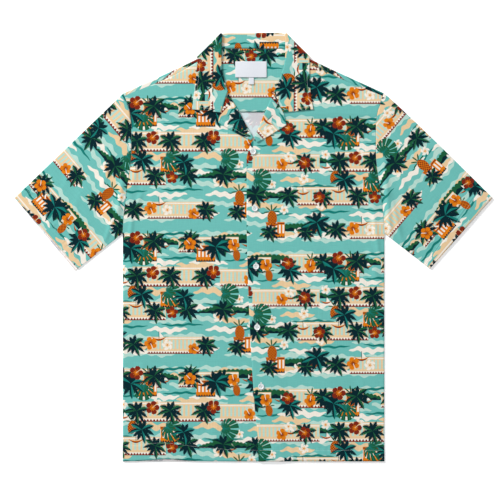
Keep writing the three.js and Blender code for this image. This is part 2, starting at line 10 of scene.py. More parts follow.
import bpy
import numpy as np
from mathutils import Matrix, Vector
from mathutils.bvhtree import BVHTree

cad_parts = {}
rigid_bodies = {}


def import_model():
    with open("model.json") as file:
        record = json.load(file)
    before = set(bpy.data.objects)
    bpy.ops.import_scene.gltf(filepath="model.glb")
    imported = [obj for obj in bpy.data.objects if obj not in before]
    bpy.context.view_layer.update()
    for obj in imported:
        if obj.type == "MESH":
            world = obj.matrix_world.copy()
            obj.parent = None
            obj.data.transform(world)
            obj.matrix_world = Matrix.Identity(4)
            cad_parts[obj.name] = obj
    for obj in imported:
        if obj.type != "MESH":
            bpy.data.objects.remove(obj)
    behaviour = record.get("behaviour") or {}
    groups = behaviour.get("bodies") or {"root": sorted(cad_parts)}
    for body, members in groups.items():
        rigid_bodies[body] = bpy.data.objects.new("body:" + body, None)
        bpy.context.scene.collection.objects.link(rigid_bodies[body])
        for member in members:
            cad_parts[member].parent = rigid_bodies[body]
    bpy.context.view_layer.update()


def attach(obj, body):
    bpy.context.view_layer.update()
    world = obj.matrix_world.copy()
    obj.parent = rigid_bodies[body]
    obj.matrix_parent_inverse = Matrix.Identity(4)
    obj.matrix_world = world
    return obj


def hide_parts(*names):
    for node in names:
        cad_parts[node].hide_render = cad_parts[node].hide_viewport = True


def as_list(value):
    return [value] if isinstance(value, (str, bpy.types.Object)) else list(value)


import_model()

# %% [markdown]
# ## Sizes
# The tables are in millimetres, because cloth is cut to the millimetre, and a mesh is turned into
# metres when it is made. X runs towards the wearer's left sleeve, Y from the hem to the collar,
# and Z up from the surface that the shirt lies on. The back's outside lies on that surface.

# %% Driving dimensions
MM = 0.001
HEM_Y = -403.3
YOKE_Y = 254.0
UNDERARM_Y = 25.4
HALF_CHEST = 246.3
SHOULDER_X, SHOULDER_Y = 245.0, 289.5
SLEEVES = {
    # each sleeve's hem at the top fold and at the underarm fold, the top fold's bow, and how far
    # the under layer shows past the upper one
    "left": {"top": np.array([450.0, 92.6]), "low": np.array([331.6, -41.0]), "bow": 1.6, "peek": 0.0},
    "right": {"top": np.array([450.0, 92.6]), "low": np.array([330.8, -41.0]), "bow": 0.0, "peek": 6.0},
}
HEM_DEPTH = 20.0
BACK_STITCH_UP = 21.0
# the height of the hem stitches above the hem's edge, and the bow of the right front's edge
HEM_STITCH = {"x": [-246, -175, -100, -15, 10], "up": [29.8, 32.5, 26.5, 21, 21]}
HEM_WAVE = {"x": -165.0, "wide": 40.0, "high": 4.3, "fade": 70.0}
PUCKER = {"reach": 9.0, "high": 0.24, "wave": 2.1, "drift": 1.7, "drift_wave": 19.0}
PLACKET_WIDTH = 31.0

WALL = 1.0  # the model's wall, which sets how far apart the layers lie
THIN = 0.6  # the wall that shows, a single layer of cloth
DOUBLE = 1.1  # a lapel or a collar, two layers and a stiffener
LAYER = 1.4
AIR = 0.4
SEAM_GAP = 0.35
LAPEL_WALL = 1.4
COLLAR_WALL = 1.6
FALL_LIFT = COLLAR_WALL + AIR
HEM_EXTRA = 0.5  # what the folded hem adds to a front's wall
YOKE_STEP = (16, 2)  # below the yoke seam, where the fronts start and end their step up
OVERLAP_STEP = (2, 36)  # past the under front's edge, where the upper one comes down
NECK_OPENS = (206, 236)  # the heights between which the upper front loses that step

ARMHOLE = {
    "y": [UNDERARM_Y, 54, 85, 113, 150, 182, 217, 248, 270, SHOULDER_Y],
    "x": [HALF_CHEST, 244.5, 241, 237.5, 232, 229.8, 229.8, 232, 237.5, SHOULDER_X],
}
SHOULDER_FOLD = {
    "x": [60, 84, 109, 126, 154, 212, SHOULDER_X],
    "y": [377, 365.5, 352.2, 344, 331, 304.5, SHOULDER_Y],
}
YOKE_STRIP = {"x": [84, 109, 160, 212, SHOULDER_X], "reach": [3, 6, 9.5, 8, 5.5]}
NECK_SEAM = {"x": [0, 58, 70, 84], "y": [373, 373, 371, 365]}
LEADING_EDGE = {
    "y": [HEM_Y, -361.7, -301.7, -196, -63.4, 66, 165, 182, 197],
    "x": [9.4, 8, 2, -4.7, -10.5, -13.2, -13.2, -9.4, -4.5],
}
FRONT_NECK = {
    "y": [197, 200, 203, 206, 214, 230, 258, 288, 303, 327, 351, 361.5],
    "x": [-4.5, -0.5, 2.2, 4.2, 8, 16.3, 29.5, 46.5, 54, 65, 78.5, 85],
}
# how far the open neck leans along X, by height
NECK_LEAN = {
    "y": [214, 230, 258, 287, 306, 323, 340, 362],
    "by": [0, -1.4, -3.1, -5.1, -3.8, -2.9, -1.6, 0],
}
BUTTONS = {"x": [-0.8, 2.4, 4.7, 6.8, 14.1], "y": [179.5, 72.6, -36.5, -150.8, -262.3]}
print(len(ARMHOLE["y"]), "points draw the armhole, and", len(BUTTONS["x"]), "buttons close the front")


# %% Lines through the tables
def mix(a, b, t):
    """a at t = 0, b at t = 1, and a straight change between them."""
    return a + (b - a) * t


def ease(value, start, end):
    """0 before start, 1 after end, and 3 t squared less 2 t cubed between them."""
    t = np.clip((value - start) / (end - start), 0.0, 1.0)
    return t * t * (3.0 - 2.0 * t)


def line_through(at, value):
    """A smooth line through a table that never overshoots its rows: a cubic between each two,
    whose slope at a row is the harmonic mean of the slopes on its two sides."""
    at, value = np.asarray(at, float), np.asarray(value, float)
    slope = np.diff(value) / np.diff(at)
    before, after = slope[:-1], slope[1:]
    same_way = before * after > 0
    inner = np.where(same_way, 2 * before * after / np.where(same_way, before + after, 1), 0.0)
    tangent = np.concatenate([slope[:1], inner, slope[-1:]])

    def line(x):
        x = np.clip(x, at[0], at[-1])
        i = np.clip(np.searchsorted(at, x, side="right") - 1, 0, len(at) - 2)
        span = at[i + 1] - at[i]
        t = (x - at[i]) / span
        bend = (2 * t - 3) * t * t
        curve = t * (1 - t) * (tangent[i] * (1 - t) - tangent[i + 1] * t)
        return value[i] * (1 + bend) - value[i + 1] * bend + span * curve

    return line


armhole_x = line_through(ARMHOLE["y"], ARMHOLE["x"])
shoulder_y = line_through(SHOULDER_FOLD["x"], SHOULDER_FOLD["y"])
yoke_strip = line_through(YOKE_STRIP["x"], YOKE_STRIP["reach"])
neck_seam_y = line_through(NECK_SEAM["x"], NECK_SEAM["y"])
leading_x = line_through(LEADING_EDGE["y"], LEADING_EDGE["x"])
hem_stitch_up = line_through(HEM_STITCH["x"], HEM_STITCH["up"])
front_neck_x = line_through(FRONT_NECK["y"], FRONT_NECK["x"])
neck_lean = line_through(NECK_LEAN["y"], NECK_LEAN["by"])


def leaned(points):
    """The neck was laid down a little towards the wearer's right. Points move along X by their
    height's row of the table, less the further out they lie."""
    x = points[..., 0]
    near = (1 - ease(x, 120, 185)) * (1 - ease(-x, 64, 102))
    moved = points.copy()
    moved[..., 0] = x + neck_lean(points[..., 1]) * near
    return moved


print("armhole half width at mid height:", round(float(armhole_x(150.0)), 1), "mm")

# %% [markdown]
# ## How high each layer lies
# Cloth that is laid down never lies quite flat. It keeps soft ridges where it was gathered by the
# arm, and long shallow waves where it was smoothed. Each one is a row of a table: a line from one
# point to another, how wide it is and how high. Across the line it falls off as a bell curve, and
# along the line it swells and fades as a sine squared, so no ridge starts or stops at once.
# The first rows are the large folds that the solids have, and the others are too fine for them.

# %% Folds and creases
FOLDS = [
    # from x, from y, to x, to y, width, height
    (222, 150, 236, 20, 12, 1.7),
    (232, 60, 232, -140, 10, 1.2),
    (150, 175, 226, 70, 16, 0.9),
    (70, -150, 190, -260, 22, 0.8),
    (132, -405, 120, -260, 20, 0.9),
    (-226, 165, -238, 30, 12, 1.8),
    (-231, 70, -234, -120, 10, 1.3),
    (-140, 150, -222, 55, 16, 0.8),
    (-60, -90, -180, -170, 22, 0.8),
    (-150, -405, -138, -250, 20, 0.9),
]
CREASES = [
    (211, 204, 227, 92, 4.5, 1.6),
    (200, 136, 238, 44, 4.5, 1.5),
    (221, 90, 239, -34, 3.5, 1.9),
    (212, 20, 236, -84, 4.5, 1.3),
    (176, 236, 214, 176, 7, 0.7),
    (120, 214, 176, 160, 9, 0.6),
    (60, 150, 132, 96, 10, 0.5),
    (150, 30, 206, -60, 8, 0.6),
    (96, -10, 150, -92, 10, 0.5),
    (196, -200, 214, -330, 7, 0.6),
    (60, -300, 92, -396, 8, 0.6),
    (28, -60, 34, -190, 6, 0.5),
    (30, 96, 38, 10, 6, 0.5),
    (-214, 208, -229, 96, 4.5, 1.5),
    (-202, 124, -236, 40, 4.5, 1.6),
    (-225, 92, -239, -50, 3.5, 2.0),
    (-236, 22, -221, -104, 4.5, 1.5),
    (-172, 232, -216, 168, 7, 0.7),
    (-110, 206, -170, 150, 9, 0.6),
    (-56, 120, -120, 60, 10, 0.5),
    (-140, 10, -204, -70, 8, 0.6),
    (-80, -20, -132, -110, 10, 0.5),
    (-206, -190, -222, -316, 7, 0.6),
    (-60, -290, -86, -392, 8, 0.6),
    (-40, 20, -34, -120, 6, 0.5),
    (-70, -220, -150, -300, 9, 0.5),
    (130, -100, 210, -160, 9, 0.5),
]


def ridges(rows, x, y):
    """The sum of the rows' ridges at x, y: height times a bell curve of the distance off the
    line, times the sine squared of the share of the line that is passed."""
    lift = np.zeros(np.broadcast(x, y).shape)
    for from_x, from_y, to_x, to_y, width, height in rows:
        dx, dy = to_x - from_x, to_y - from_y
        length = np.hypot(dx, dy)
        along = np.clip(((x - from_x) * dx + (y - from_y) * dy) / length**2, 0, 1)
        off = ((x - from_x) * dy - (y - from_y) * dx) / length / width
        lift += height * np.sin(np.pi * along) ** 2 * np.exp(-off * off)
    return lift


def rise_over_fall(x, y):
    """The yokes and fronts rise over the part of the collar that lies behind the neck."""
    return FALL_LIFT * ease(y, 288, 338) * (1 - ease(np.abs(x), 108, 152))


def fold_lift(x, y):
    """All ridges, faded out where the sides round down to the floor."""
    side = np.where(y < UNDERARM_Y, ease(HALF_CHEST - np.abs(x), 2, 12), 1.0)
    return ridges(FOLDS + CREASES, x, y) * side


def front_under(x, y, upper):
    """The underside of a front. The upper one climbs over the edge of the under one."""
    over_yokes = LAYER * ease(y, YOKE_Y - YOKE_STEP[0], YOKE_Y - YOKE_STEP[1])
    under_hem = HEM_EXTRA * (1 - ease(y, HEM_Y + HEM_DEPTH, HEM_Y + 2 * HEM_DEPTH))
    under_edge = leading_x(y) + PLACKET_WIDTH
    down_from, down_to = under_edge + OVERLAP_STEP[0], under_edge + OVERLAP_STEP[1]
    climb = (LAYER + under_hem) * (1 - ease(x, down_from, down_to))
    fading = climb * (1 - ease(y, *NECK_OPENS)) if upper else 0.0
    return rise_over_fall(x, y) + LAYER + over_yokes + fading + fold_lift(x, y)


def front_top(x, y, upper):
    """The upper side of a front in the model, which lapels, leaf and buttons rest on."""
    return front_under(x, y, upper) + WALL


probe = front_top(np.array([120.0, -120.0]), np.array([0.0, 0.0]), False)
print("the fronts lie", np.round(probe, 2), "mm up at the middle of each side")

# %% [markdown]
# ## From a formula to a piece of cloth
# Every cloth piece here is one function of two parameters that gives its middle surface. A grid
# of parameters goes in as whole arrays, and the points come out as whole arrays. The cloth gets
# its thickness half to each side along the surface's normal, and its rim is closed. Its right
# side takes one material and its wrong side another, as printed cloth has. The UV map holds
# millimetres along the grain, turned into metres, so the print keeps its true scale and follows
# the way in which each piece was cut.


# %% Cloth walls
def placed(name, data):
    """An object for a mesh, a lamp or a camera, linked into the scene."""
    made = bpy.data.objects.new(name, data)
    bpy.context.collection.objects.link(made)
    return made


def normals_of(form, u, v):
    """Unit normals: the cross product of the form's slopes along u and v."""
    step = 1e-3
    along_u = form(u + step, v) - form(u - step, v)
    along_v = form(u, v + step) - form(u, v - step)
    normal = np.cross(along_u, along_v)
    return normal / np.maximum(np.linalg.norm(normal, axis=-1, keepdims=True), 1e-12)


def cells(grid):
    """The four corners of each cell of a grid of numbers, in order round the cell."""
    corners = [grid[:-1, :-1], grid[1:, :-1], grid[1:, 1:], grid[:-1, 1:]]
    return np.stack(corners, axis=-1).reshape(-1, 4)


def rims(grid, ring):
    """Rows of neighbouring numbers along a grid's open edges, each with the cloth on its left."""
    edges = [grid[0, ::-1], grid[-1]]
    if not ring:
        edges += [grid[:, 0], grid[::-1, -1]]
    return [np.stack([edge[:-1], edge[1:]], axis=-1) for edge in edges]


def cloth(name, form, us, vs, wall, grain, finishes, side=1, ring=False):
    """A closed wall of cloth: form(u, v) plus and minus half the wall along the normal. The
    finishes are those of its right and wrong side. `side` is 1 where the right side faces along
    the normal and -1 where it faces against it. A ring joins the last v to the first."""
    u, v = np.meshgrid(us, vs, indexing="ij")
    middle, normal = form(u, v), side * normals_of(form, u, v)
    if callable(wall):
        wall = wall(u, v)[..., None]
    outer, inner = middle + 0.5 * wall * normal, middle - 0.5 * wall * normal
    count = u.size
    corner = np.arange(count).reshape(u.shape)
    place_v = np.append(vs, vs[0] + ring) if ring else vs
    uv_u, uv_v = np.meshgrid(us, place_v, indexing="ij")
    uv = np.stack(grain(uv_u, uv_v, form(uv_u, uv_v)), axis=-1).reshape(-1, 2) * MM
    if ring:
        corner = np.hstack([corner, corner[:, :1]])
    place = np.arange(uv_u.size).reshape(uv_u.shape)
    faces = [cells(corner), cells(corner)[:, ::-1] + count]
    places = [cells(place), cells(place)[:, ::-1]]
    for edge, spot in zip(rims(corner, ring), rims(place, ring)):
        faces.append(np.hstack([edge[:, ::-1], edge + count]))
        places.append(np.hstack([spot[:, ::-1], spot]))
    material = np.concatenate([np.full(len(f), int(i == 1)) for i, f in enumerate(faces)])
    smooth = np.concatenate([np.full(len(f), i < 2) for i, f in enumerate(faces)])
    faces, places = np.concatenate(faces), np.concatenate(places)
    if side < 0:
        faces, places = faces[:, ::-1], places[:, ::-1]
    mesh = bpy.data.meshes.new(name)
    points = np.concatenate([outer.reshape(-1, 3), inner.reshape(-1, 3)]) * MM
    mesh.from_pydata(points, [], faces)
    mesh.uv_layers.new(name="Grain").data.foreach_set("uv", uv[places].ravel())
    mesh.polygons.foreach_set("material_index", material)
    mesh.polygons.foreach_set("use_smooth", smooth)
    for finish in finishes:
        mesh.materials.append(finish)
    mesh.update()
    print(f"{name}: {len(faces)} faces, {len(points)} points")
    return placed(name, mesh)


def plain_grain(from_x=0.0, from_y=0.0, mirror=1):
    """The grain of a flat piece that is cut upright: its own X and Y, from a chosen point."""
    return lambda u, v, p: (mirror * p[..., 0] - from_x, p[..., 1] - from_y)


def cut_area(piece):
    """The flat area of a piece in square metres: half of its closed wall's surface."""
    return 0.5 * sum(face.area for face in piece.data.polygons)


LEAST_CUT = 0.31  # the least share of its flat rectangle that a cut's area is raised to


def laid(piece, node, flat, rests_on, slot, sewing):
    """Puts a finished sheet on its body and hides the solid it stands for. The area of its cut is worked
    out, but not used.
    """
    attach(piece, "root")
    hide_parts(node)
    most = flat[0] * flat[1]
    area = min(max(cut_area(piece), LEAST_CUT * most), most)
    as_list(rests_on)
    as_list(sewing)


print("a cloth piece is a form, two rows of parameters, a wall and a grain")

# %% [markdown]
# ## The print
# A hawaiian print is drawn once and repeated over the whole cloth in flat screen colours. This
# one has fronds, split leaves, hibiscus, plumeria, pineapples, canoes, tapa panels, small mats,
# sand bars and green shores on turquoise water. An image would blur when the camera comes close,
# so the print is built from shader nodes. Each motif is worked out from distances and angles.
# A recipe is a table: each row names a result, the node that makes it, and what goes in.

# %% Recipes for nodes
CHOICE = {
    "Math": "operation",
    "VectorMath": "operation",
    "Mix": "data_type",
    "TexWhiteNoise": "noise_dimensions",
    "VectorRotate": "rotation_type",
    "Group": "node_tree",
    "UVMap": "uv_map",
}


def source_of(made, word):
    """What a word of a recipe means: a number, or something made or given before. `name>2`
    is the third output that the node shows, counted from 0, and `name>mask` is one by name."""
    name, _, spot = word.partition(">")
    found = made.get(name)
    if found is None:
        return float(word)
    if not isinstance(found, bpy.types.Node):
        return found
    if spot and not spot.isdigit():
        return found.outputs[spot]
    return [socket for socket in found.outputs if socket.enabled][int(spot or 0)]


def wire(tree, recipe, **made):
    """Adds one node for each row: result, kind.choice, inputs. Inputs go to the sockets that
    the node shows, in their order, or to a named one as in `Scale=3`. It returns all results."""
    for row in filter(None, map(str.strip, recipe.splitlines())):
        result, what, *words = row.split()
        kind, _, choice = what.partition(".")
        node = tree.nodes.new("ShaderNode" + kind)
        if choice:
            value = bpy.data.node_groups[choice.replace("_", " ")] if kind == "Group" else choice
            setattr(node, CHOICE[kind], value)
        shown = [socket for socket in node.inputs if socket.enabled]
        for i, word in enumerate(words):
            socket, _, word = word.rpartition("=")
            target = node.inputs[socket.replace("_", " ")] if socket else shown[i]
            value = source_of(made, word)
            if isinstance(value, bpy.types.NodeSocket):
                tree.links.new(value, target)
            elif isinstance(value, tuple):
                target.default_value = value[: len(target.default_value)]
            else:
                target.default_value = value
        made[result] = node
    return made


def group(name, takes, gives, recipe, **given):
    """A node group. `takes` names its number inputs, and `gives` its outputs, each one a
    result's name or `label=result>output`. An output called colour is a colour."""
    tree = bpy.data.node_groups.new(name, "ShaderNodeTree")
    for label in takes:
        tree.interface.new_socket(label, in_out="INPUT", socket_type="NodeSocketFloat")
    for label in gives:
        kind = "NodeSocketColor" if label == "colour" else "NodeSocketFloat"
        tree.interface.new_socket(label.split("=")[0], in_out="OUTPUT", socket_type=kind)
    entry = tree.nodes.new("NodeGroupInput")
    made = wire(tree, recipe, **{label: entry.outputs[label] for label in takes}, **given)
    end = tree.nodes.new("NodeGroupOutput")
    for label in gives:
        label, _, word = label.partition("=")
        tree.links.new(source_of(made, word or label), end.inputs[label])
    return tree


def linear(hex_colour):
    """An sRGB hex colour as a linear colour with alpha."""
    levels = np.array([int(hex_colour[i : i + 2], 16) for i in (1, 3, 5)]) / 255
    low = levels <= 0.04045
    values = np.where(low, levels / 12.92, ((levels + 0.055) / 1.055) ** 2.4)
    return (*values.tolist(), 1.0)


print("a recipe row looks like: radius  VectorMath.LENGTH  spot")

# %% [markdown]
# ### Places for the motifs
# The print's screens repeat every 320 mm across and 254 mm up. Each motif divides that repeat
# into its own columns and rows, and one group finds the place of any point in its cell. It draws
# fixed random numbers for the cell, and gives the point's position about the motif's centre,
# moved, turned and scaled by them. A part of the cells stays empty. A cell is larger than its
# motif, so nothing is cut off.

# %% Motif places
REPEAT_WIDE, REPEAT_HIGH = 320, 254
PLACE = f"""
    wide      Math.DIVIDE           {REPEAT_WIDE} columns
    high      Math.DIVIDE           {REPEAT_HIGH} rows
    row_at    Math.DIVIDE           y high
    row       Math.FLOOR            row_at
    row_in    Math.FLOORED_MODULO   row rows
    slide     Math.MULTIPLY         row_in shift
    wide_at   Math.DIVIDE           x wide
    col_at    Math.ADD              wide_at slide
    col       Math.FLOOR            col_at
    col_in    Math.FLOORED_MODULO   col columns
    cell      CombineXYZ            col_in row_in seed
    draw      TexWhiteNoise.3D      cell
    pick      SeparateXYZ           draw>1
    off_x     Math.SUBTRACT         pick>0 0.5
    off_y     Math.SUBTRACT         pick>1 0.5
    off_turn  Math.SUBTRACT         pick>2 0.5
    in_x      Math.SUBTRACT         col_at col
    in_y      Math.SUBTRACT         row_at row
    from_x    Math.MULTIPLY_ADD     off_x wander 0.5
    from_y    Math.MULTIPLY_ADD     off_y wander 0.5
    share_x   Math.SUBTRACT         in_x from_x
    share_y   Math.SUBTRACT         in_y from_y
    mm_x      Math.MULTIPLY         share_x wide
    mm_y      Math.MULTIPLY         share_y high
    flat      CombineXYZ            mm_x mm_y 0
    angle     Math.MULTIPLY_ADD     off_turn spread turn
    turned    VectorRotate.Z_AXIS   Vector=flat Angle=angle
    off_size  Math.MULTIPLY_ADD     pick>1 0.3 0.85
    unit      Math.MULTIPLY         off_size size
    scale     Math.DIVIDE           1 unit
    local     VectorMath.SCALE      turned scale
    part      SeparateXYZ           local
    empty     Math.GREATER_THAN     draw>0 fill
    u         Math.MULTIPLY_ADD     empty 10000 part>0
"""
PLACE_TAKES = tuple("x y columns rows shift seed wander turn spread size fill".split())
group("Motif place", PLACE_TAKES, ("u", "v=part>1", "chance=draw>0"), PLACE)
print("motif places take", ", ".join(PLACE_TAKES))

# %% [markdown]
# ### The motifs
# A frond spray folds the angle round its centre into equal sectors, so one frond drawn along an
# axis becomes ten, each with its own length. Its leaflets are a sawtooth on the frond's width.
# A split leaf is a cardioid with slits, and the two flowers are circles whose radius swells five
# times round. The canoe is the space between two parabolas, and a brush stroke is a long ellipse
# whose edges and middle line wander as sines. Every group gives masks of 0 or 1.

# %% Motif shapes
POLAR = """
    spot    CombineXYZ        u v 0
    radius  VectorMath.LENGTH spot
    angle   Math.ARCTAN2      v u
"""
FROND = """
    sag      Math.MULTIPLY        u u
    lifted   Math.MULTIPLY_ADD    sag 0.42 v
    spot     CombineXYZ           u lifted 0
    radius   VectorMath.LENGTH    spot
    angle    Math.ARCTAN2         lifted u
    in_step  Math.DIVIDE          angle 0.6283
    which    Math.ROUND           in_step
    apart    Math.SUBTRACT        in_step which
    local    Math.MULTIPLY        apart 0.6283
    side     Math.SINE            local
    across   Math.MULTIPLY        side radius
    width    Math.ABSOLUTE        across
    cosine   Math.COSINE          local
    along    Math.MULTIPLY        cosine radius
    whole    Math.FLOORED_MODULO  which 10
    draw_at  Math.MULTIPLY_ADD    whole 1.7 chance
    sway     Math.SINE            draw_at
    reach    Math.MULTIPLY_ADD    sway 0.16 0.78
    share    Math.DIVIDE          along reach
    arch     Math.MULTIPLY        share 3.1416
    swell    Math.SINE            arch
    teeth    Math.MULTIPLY        along 9
    slant    Math.MULTIPLY_ADD    width -14 teeth
    saw      Math.FRACT           slant
    serrate  Math.MULTIPLY_ADD    saw 0.6 0.5
    full     Math.MULTIPLY        swell 0.19
    edge     Math.MULTIPLY        full serrate
    in_frond Math.LESS_THAN       width edge
    in_reach Math.LESS_THAN       share 1
    mask     Math.MULTIPLY        in_frond in_reach
    lit_side Math.GREATER_THAN    across 0
    parity   Math.GREATER_THAN    sway 0.4
    light    Math.MULTIPLY        lit_side parity
"""
SPLIT_LEAF = POLAR + """
    cosine   Math.COSINE          angle
    heart    Math.MULTIPLY_ADD    cosine 0.5 0.5
    inside   Math.LESS_THAN       radius heart
    turn     Math.ABSOLUTE        angle
    lobes    Math.MULTIPLY        turn 2.6
    beat     Math.FRACT           lobes
    gap      Math.LESS_THAN       beat 0.2
    inner    Math.MULTIPLY        heart 0.48
    outer    Math.GREATER_THAN    radius inner
    slit     Math.MULTIPLY        gap outer
    whole    Math.SUBTRACT        1 slit
    mask     Math.MULTIPLY        inside whole
    middle   Math.SUBTRACT        beat 0.6
    off_mid  Math.ABSOLUTE        middle
    vein_arc Math.MULTIPLY        off_mid radius
    vein     Math.LESS_THAN       vein_arc 0.028
    rib_off  Math.ABSOLUTE        v
    rib      Math.LESS_THAN       rib_off 0.018
    light    Math.MAXIMUM         vein rib
"""
HIBISCUS = POLAR + """
    five     Math.MULTIPLY        angle 2.5
    beat     Math.COSINE          five
    petal    Math.ABSOLUTE        beat
    round    Math.POWER           petal 0.5
    frill    Math.MULTIPLY        angle 21
    ripple   Math.SINE            frill
    swell    Math.MULTIPLY_ADD    round 0.42 0.56
    edge     Math.MULTIPLY_ADD    ripple 0.025 swell
    mask     Math.LESS_THAN       radius edge
    seam_arc Math.MULTIPLY        petal radius
    seam     Math.LESS_THAN       seam_arc 0.045
    streak   Math.MULTIPLY        angle 10
    fan      Math.COSINE          streak
    ray_end  Math.MULTIPLY_ADD    fan 0.16 0.3
    ray      Math.LESS_THAN       radius ray_end
    dark     Math.MAXIMUM         seam ray
    axis     VectorRotate.Z_AXIS  Vector=spot Angle=-0.7
    parts    SeparateXYZ          axis
    off_axis Math.ABSOLUTE        parts>1
    thin     Math.LESS_THAN       off_axis 0.045
    out      Math.GREATER_THAN    parts>0 0
    near     Math.LESS_THAN       radius 0.86
    on_stem  Math.MULTIPLY        thin out
    pistil   Math.MULTIPLY        on_stem near
"""
PLUMERIA = POLAR + """
    twist    Math.MULTIPLY_ADD    radius 1.1 angle
    five     Math.MULTIPLY        twist 2.5
    beat     Math.COSINE          five
    petal    Math.ABSOLUTE        beat
    round    Math.POWER           petal 0.6
    edge     Math.MULTIPLY_ADD    round 0.6 0.36
    mask     Math.LESS_THAN       radius edge
    seam_arc Math.MULTIPLY        petal radius
    seam     Math.LESS_THAN       seam_arc 0.05
    glow_end Math.MULTIPLY        round 0.42
    warm     Math.LESS_THAN       radius glow_end
    tan      Math.MAXIMUM         seam warm
    core     Math.LESS_THAN       radius 0.14
"""
CANOE = """
    bow      Math.MULTIPLY        u u
    deck     Math.MULTIPLY        bow 0.3
    keel     Math.MULTIPLY_ADD    bow 0.62 -0.26
    below    Math.LESS_THAN       v deck
    above    Math.GREATER_THAN    v keel
    mask     Math.MULTIPLY        below above
    stripe_y Math.MULTIPLY_ADD    bow 0.42 -0.1
    stripe   Math.LESS_THAN       v stripe_y
    mast_off Math.ABSOLUTE        u
    on_mast  Math.LESS_THAN       mast_off 0.03
    over     Math.GREATER_THAN    v 0
    under    Math.LESS_THAN       v 0.9
    up       Math.MULTIPLY        over under
    mast     Math.MULTIPLY        up on_mast
    slope    Math.MULTIPLY_ADD    u -1.2 0.86
    in_sail  Math.LESS_THAN       v slope
    fore     Math.GREATER_THAN    u 0.06
    clear    Math.GREATER_THAN    v 0.16
    cut      Math.MULTIPLY        in_sail fore
    sail     Math.MULTIPLY        cut clear
"""
STROKE = """
    share    Math.DIVIDE          u half
    square   Math.MULTIPLY        share share
    open     Math.SUBTRACT        1 square
    room     Math.MAXIMUM         open 0
    round    Math.POWER           room 0.62
    phase    Math.MULTIPLY        chance 40
    drift_at Math.MULTIPLY_ADD    u 0.11 phase
    drift    Math.SINE            drift_at
    flow     Math.MULTIPLY        drift thick
    middle   Math.MULTIPLY_ADD    flow 0.3 v
    side     Math.SIGN            middle
    off      Math.ABSOLUTE        middle
    turned   Math.MULTIPLY_ADD    side 1.3 phase
    lobes_at Math.MULTIPLY_ADD    u 0.31 turned
    lobes    Math.SINE            lobes_at
    swell    Math.MULTIPLY_ADD    lobes 0.3 0.75
    wide     Math.MULTIPLY        swell thick
    edge     Math.MULTIPLY        wide round
    mask     Math.LESS_THAN       off edge
"""
SHORE = """
    far      Math.ABSOLUTE        u
    share    Math.DIVIDE          far half
    square   Math.POWER           share 2.4
    fall     Math.MULTIPLY_ADD    square -15 13
    wave     Math.MULTIPLY        u 0.42
    crown    Math.SINE            wave
    tuft     Math.ABSOLUTE        crown
    top      Math.MULTIPLY_ADD    tuft 2.2 fall
    below    Math.LESS_THAN       v top
    above    Math.GREATER_THAN    v 0
    green    Math.MULTIPLY        below above
    roots_at Math.MULTIPLY_ADD    share 3 wave
    roots    Math.COSINE          roots_at
    rooted   Math.MULTIPLY        fall 0.42
    shaded   Math.MULTIPLY_ADD    roots 1.4 rooted
    dark     Math.LESS_THAN       v shaded
    from_line Math.ABSOLUTE       v
    thin     Math.LESS_THAN       from_line 1
    in_line  Math.LESS_THAN       share 1.12
    line     Math.MULTIPLY        thin in_line
"""
TAPA = """
    far      Math.ABSOLUTE        u
    tall     Math.ABSOLUTE        v
    in_wide  Math.LESS_THAN       far half
    in_tall  Math.LESS_THAN       tall 17
    mask     Math.MULTIPLY        in_wide in_tall
    bars_at  Math.DIVIDE          u 7.6
    bars     Math.FRACT           bars_at
    bar      Math.LESS_THAN       bars 0.5
    middle   Math.SUBTRACT        v 2
    from_mid Math.ABSOLUTE        middle
    in_field Math.LESS_THAN       from_mid 9
    stripe   Math.MULTIPLY        bar in_field
    tooth_at Math.DIVIDE          u 5.4
    tooth    Math.PINGPONG        tooth_at 0.5
    teeth    Math.MULTIPLY_ADD    tooth 8 -16
    hem      Math.LESS_THAN       v -11.4
    zigzag   Math.LESS_THAN       v teeth
    rail_gap Math.SUBTRACT        v 14
    from_top Math.ABSOLUTE        rail_gap
    rail     Math.LESS_THAN       from_top 1.2
"""
PINEAPPLE = """
    wide_u   Math.DIVIDE          u 0.52
    tall_v   Math.DIVIDE          v 0.8
    oval     CombineXYZ           wide_u tall_v 0
    size     VectorMath.LENGTH    oval
    mask     Math.LESS_THAN       size 1
    plus     Math.ADD             u v
    less     Math.SUBTRACT        u v
    plus_at  Math.MULTIPLY        plus 3.2
    less_at  Math.MULTIPLY        less 3.2
    rise     Math.FRACT           plus_at
    fall     Math.FRACT           less_at
    rise_on  Math.LESS_THAN       rise 0.26
    fall_on  Math.LESS_THAN       fall 0.26
    grid     Math.MAXIMUM         rise_on fall_on
    up       Math.SUBTRACT        v 0.66
    tip      CombineXYZ           u up 0
    reach    VectorMath.LENGTH    tip
    lean     Math.ARCTAN2         u up
    folded   Math.MULTIPLY        lean 4
    beat     Math.COSINE          folded
    point    Math.ABSOLUTE        beat
    sharp    Math.POWER           point 3
    edge     Math.MULTIPLY_ADD    sharp 0.75 0.12
    wide     Math.ABSOLUTE        lean
    in_fan   Math.LESS_THAN       wide 1.7
    in_edge  Math.LESS_THAN       reach edge
    crown    Math.MULTIPLY        in_fan in_edge
"""
MOTIFS = {
    "Frond spray": (("u", "v", "chance"), ("mask", "light"), FROND),
    "Split leaf": (("u", "v"), ("mask", "light"), SPLIT_LEAF),
    "Hibiscus": (("u", "v"), ("mask", "dark", "pistil"), HIBISCUS),
    "Plumeria": (("u", "v"), ("mask", "tan", "core"), PLUMERIA),
    "Pineapple": (("u", "v"), ("mask", "grid", "crown"), PINEAPPLE),
    "Canoe": (("u", "v"), ("mask", "stripe", "mast", "sail"), CANOE),
    "Brush stroke": (("u", "v", "chance", "half", "thick"), ("mask",), STROKE),
    "Shore": (("u", "v", "half"), ("green", "dark", "line"), SHORE),
    "Tapa panel": (("u", "v", "half"), ("mask", "stripe", "hem", "zigzag", "rail"), TAPA),
}
